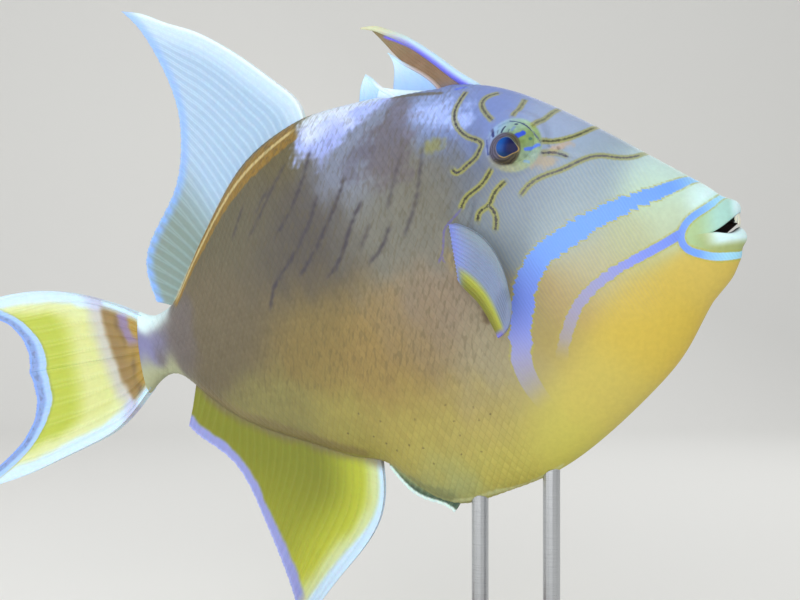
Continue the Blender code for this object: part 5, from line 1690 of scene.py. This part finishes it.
def add_bands(s, color, across, along, grain, tone):
    """Blue bands whose edges step from one row of scales to the next, with a yellow outline."""
    gap, width, steps = s.parts(s.attribute("band"))
    long_step = s.product(s.saw(across, LONG_STEP[0]), LONG_STEP[1])
    short_step = s.product(s.saw(across, SHORT_STEP[0]), SHORT_STEP[1])
    row = s.math("FLOOR", s.math("DIVIDE", across, SHORT_STEP[0]))
    side = s.math("SIGN", steps)
    chance = s.math("SUBTRACT", s.chance(s.vector(row, side, 0.0)), 0.5)
    stepped = s.product(s.math("ADD", long_step, short_step), steps)
    odd = s.product(chance, STEP_CHANCE, s.math("ABSOLUTE", steps))
    wander = s.scale_add(grain, 0.5, -0.25)
    edge = s.math("ADD", s.math("ADD", width, stepped), s.math("ADD", odd, wander))
    outside = s.math("SUBTRACT", gap, edge)
    present = s.step(tone, 1.15, 0.55)
    mottled = s.step(s.noise(s.vector(across, along, 0.0), 0.7, 2.0), 0.35, 0.6)
    outline = s.product(s.step(outside, 1.3, 0.4), present, s.scale_add(mottled, 0.45, 0.2))
    color = s.mix(outline, color, shade(0.70, 0.70, 0.28))
    blue = s.mix(s.step(tone, -0.5, 0.0), shade(0.66, 0.90, 1.0), shade(0.46, 0.66, 1.0))
    blue = s.mix(s.step(tone, 0.0, 0.4), blue, shade(0.48, 0.59, 0.97))
    blue = s.mix(s.step(tone, 0.35, 0.9), blue, shade(0.60, 0.61, 0.88))
    thread = s.scale_add(s.math("SINE", s.product(across, 2 * math.pi / 1.2)), 0.035, 0.975)
    return s.mix(s.product(s.step(outside, 0.3, -0.3), present), color, s.tinted(blue, thread))


def skin_material():
    """Ground colour, scales, stripes, dashes, dots, dark lines and blue bands of the skin."""
    s = Shader("skin")
    place = s.attribute("place")
    behind, _, above = s.parts(place)
    cheek, dashed, dots = s.parts(s.attribute("masks"))
    tone, wet, _ = s.parts(s.attribute("finish"))
    across, along = turned_by(s, ROW_ACROSS, behind, above)
    soft = s.noise(place, 0.10, 2.0)
    fine = s.noise(place, 0.45, 4.0)
    grain = s.noise(place, 1.6, 3.0)
    color, seam = add_scales(s, s.attribute("ground", "Color"), fine)
    color, stripe = add_stripes(s, color, across, cheek, soft)
    color = add_dashes(s, color, behind, above, dashed, dots, grain)
    color = add_lines(s, color, grain, fine)
    color = add_bands(s, color, across, along, grain, tone)
    s.set(Base_Color=color, Subsurface_Weight=0.06, Subsurface_Scale=0.004)
    s.set(Coat_Weight=0.05, Coat_Roughness=0.35, Specular_IOR_Level=0.4)
    s.set(Roughness=s.math("MULTIPLY_ADD", wet, -0.24, s.scale_add(fine, 0.16, 0.42)))
    height = s.scale_add(seam, -0.5, s.product(fine, 0.35))
    height = s.math("ADD", height, s.product(grain, 0.25))
    height = s.math("ADD", height, s.product(stripe, cheek, 0.2))
    s.bump(height, 0.35, 0.0004)
    return s.material


def fin_material():
    """Painted rays and webs, with fine streaks along the rays and joints across them."""
    s = Shader("fin")
    place = s.attribute("place")
    ray, share, ridge = s.parts(s.attribute("span"))
    along = s.vector(s.product(ray, 5.0), s.product(share, 6.0), 0.0)
    streaks = s.noise(along, 1.6, 4.0)
    mottle = s.noise(place, 0.35, 4.0)
    value = s.math("ADD", s.scale_add(streaks, 0.14, 0.86), s.product(mottle, 0.14))
    color = s.tinted(s.attribute("paint", "Color"), value)
    joint = s.product(s.step(s.math("PINGPONG", s.product(share, 34.0), 0.5), 0.16, 0.06), ridge)
    color = s.mix(s.product(joint, 0.07), color, shade(0.35, 0.38, 0.42))
    s.set(Base_Color=color, Subsurface_Weight=0.15, Subsurface_Scale=0.003)
    s.set(Coat_Weight=0.05, Coat_Roughness=0.3, Specular_IOR_Level=0.4)
    s.set(Roughness=s.scale_add(mottle, 0.2, 0.36))
    height = s.math("ADD", s.product(streaks, 0.6), s.product(joint, -0.3))
    s.bump(height, 0.3, 0.0003)
    return s.material


def eye_material():
    s = Shader("eye")
    speck = s.noise(s.attribute("place"), 1.6, 4.0)
    color = s.tinted(s.attribute("paint", "Color"), s.scale_add(speck, 0.2, 0.9))
    s.set(Base_Color=color, Coat_Weight=0.15, Coat_Roughness=0.05, Coat_IOR=1.4, Specular_IOR_Level=0.12)
    s.set(Roughness=s.scale_add(speck, 0.15, 0.32))
    return s.material


def tooth_material():
    s = Shader("tooth_ivory")
    stain = s.noise(s.node("TexCoord").outputs["Object"], 900.0, 3.0)
    color = s.mix(stain, shade(0.96, 0.97, 0.92), shade(0.88, 0.87, 0.78))
    s.set(Base_Color=color, Subsurface_Weight=0.15, Subsurface_Scale=0.002)
    s.set(Coat_Weight=0.2, Coat_Roughness=0.15, Roughness=s.scale_add(stain, 0.2, 0.25))
    return s.material


def wood_material():
    """Oiled walnut: long grain with darker pores along the base."""
    s = Shader("walnut")
    place = s.node("TexCoord").outputs["Object"]
    bend = s.noise(s.scaled(place, 6.0, 22.0, 22.0), 1.0, 2.0)
    figure = s.noise(s.scaled(place, 14.0, 120.0, 120.0), 1.2, 5.0)
    rings = s.math("SINE", s.scale_add(bend, 26.0, s.product(figure, 4.0)))
    band = s.scale_add(rings, 0.5, 0.5)
    color = s.mix(band, shade(0.34, 0.21, 0.13), shade(0.50, 0.33, 0.21))
    pores = s.step(s.noise(s.scaled(place, 60.0, 1500.0, 1500.0), 1.0, 3.0), 0.62, 0.70)
    color = s.mix(s.product(pores, 0.6), color, shade(0.20, 0.12, 0.08))
    s.set(Base_Color=color, Coat_Weight=0.35, Coat_Roughness=0.2)
    s.set(Roughness=s.scale_add(band, 0.12, 0.34))
    s.bump(s.product(pores, -1.0), 0.25, 0.0002)
    return s.material


def steel_material():
    """Steel brushed round the rod."""
    s = Shader("brushed_steel")
    place = s.node("TexCoord").outputs["Object"]
    brushed = s.noise(s.scaled(place, 90.0, 90.0, 5200.0), 1.0, 3.0)
    color = s.mix(brushed, shade(0.66, 0.67, 0.69), shade(0.80, 0.81, 0.82))
    s.set(Base_Color=color, Metallic=1.0, Roughness=s.scale_add(brushed, 0.16, 0.22))
    s.bump(brushed, 0.12, 0.0001)
    return s.material


def plain_material(name, color, roughness):
    s = Shader(name)
    s.set(Base_Color=shade(*color), Roughness=roughness)
    return s.material


def dress(pieces, material):
    for piece in pieces:
        piece.data.materials.clear()
        piece.data.materials.append(material)


# Stage

FLOOR_SIZE = 3.0
SWEEP_START = 1.1
SWEEP_RADIUS = 0.5
SWEEP_PARTS = 16
WALL_HEIGHT = 2.2
FLOOR_COLOR = (0.93, 0.93, 0.92)
# Place, size and power of each soft light
LIGHTS = {
    "key": ((0.25, -1.3, 0.55), (1.2, 0.9), 8.0),
    "fill": ((-0.9, -0.9, 0.5), (1.0, 0.8), 5.0),
    "top": ((-0.1, 0.15, 1.5), (1.2, 0.8), 3.0),
    "rear": ((0.2, 1.0, 0.9), (1.0, 0.6), 3.0),
}
LIGHT_AIM = (-0.08, 0.0, 0.2)
SKY_STRENGTH = 0.52


def build_stage():
    """A pale floor that sweeps up into a pale wall behind the model."""
    profile = [(-FLOOR_SIZE, 0.0), (SWEEP_START, 0.0)]
    for i in range(1, SWEEP_PARTS + 1):
        turn = math.pi / 2 * i / SWEEP_PARTS
        reach = SWEEP_START + SWEEP_RADIUS * math.sin(turn)
        profile.append((reach, SWEEP_RADIUS * (1 - math.cos(turn))))
    profile.append((SWEEP_START + SWEEP_RADIUS, WALL_HEIGHT))
    away = Vector((-math.sin(TURN), math.cos(TURN), 0))
    across = Vector((math.cos(TURN), math.sin(TURN), 0))
    points = []
    for reach, height in profile:
        for side in (-FLOOR_SIZE, FLOOR_SIZE):
            points.append(away * reach + across * side + Vector((0, 0, height)))
    faces = [(2 * i, 2 * i + 1, 2 * i + 3, 2 * i + 2) for i in range(len(profile) - 1)]
    mesh = bpy.data.meshes.new("floor_and_backdrop")
    mesh.from_pydata(points, [], faces)
    mesh.shade_smooth()
    floor = bpy.data.objects.new("floor_and_backdrop", mesh)
    bpy.context.scene.collection.objects.link(floor)
    mesh.materials.append(plain_material("paper", FLOOR_COLOR, 0.9))


def add_lights():
    for name, (place, size, power) in LIGHTS.items():
        data = bpy.data.lights.new(name, "AREA")
        data.shape = "RECTANGLE"
        data.size, data.size_y = size
        data.energy = power
        light = bpy.data.objects.new(name, data)
        light.location = place
        aim = Vector(LIGHT_AIM) - Vector(place)
        light.rotation_euler = aim.to_track_quat("-Z", "Y").to_euler()
        bpy.context.scene.collection.objects.link(light)
    world = bpy.data.worlds.new("studio")
    world.use_nodes = True
    sky = world.node_tree.nodes["Background"]
    sky.inputs["Color"].default_value = (1, 1, 1, 1)
    sky.inputs["Strength"].default_value = SKY_STRENGTH
    bpy.context.scene.world = world


def add_camera():
    data = bpy.data.cameras.new("camera")
    data.lens = LENS
    data.sensor_width = SENSOR_WIDTH
    data.clip_start = NEAREST
    camera = bpy.data.objects.new("camera", data)
    camera.location = Vector(TARGET) + DISTANCE * Vector((math.sin(TURN), -math.cos(TURN), 0))
    camera.rotation_euler = (math.pi / 2, 0, TURN)
    bpy.context.scene.collection.objects.link(camera)
    bpy.context.scene.camera = camera


# All together

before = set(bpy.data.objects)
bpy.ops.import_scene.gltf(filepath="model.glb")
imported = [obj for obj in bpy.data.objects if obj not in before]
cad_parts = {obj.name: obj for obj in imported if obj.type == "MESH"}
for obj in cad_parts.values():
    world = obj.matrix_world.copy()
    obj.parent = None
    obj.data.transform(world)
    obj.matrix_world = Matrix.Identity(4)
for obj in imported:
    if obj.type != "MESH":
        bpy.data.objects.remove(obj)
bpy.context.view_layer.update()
add_camera()
skin_piece, body_grid = build_skin()
dress([skin_piece], skin_material())
dress(build_fins() + build_spines(), fin_material())
dress(build_eyes(body_grid), eye_material())
dress([build_teeth()], tooth_material())
dress([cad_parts["stand_base"]], wood_material())
dress([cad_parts["stand_rod_front"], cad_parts["stand_rod_rear"]], steel_material())
build_stage()
add_lights()
bpy.context.scene.view_settings.view_transform = "Standard"
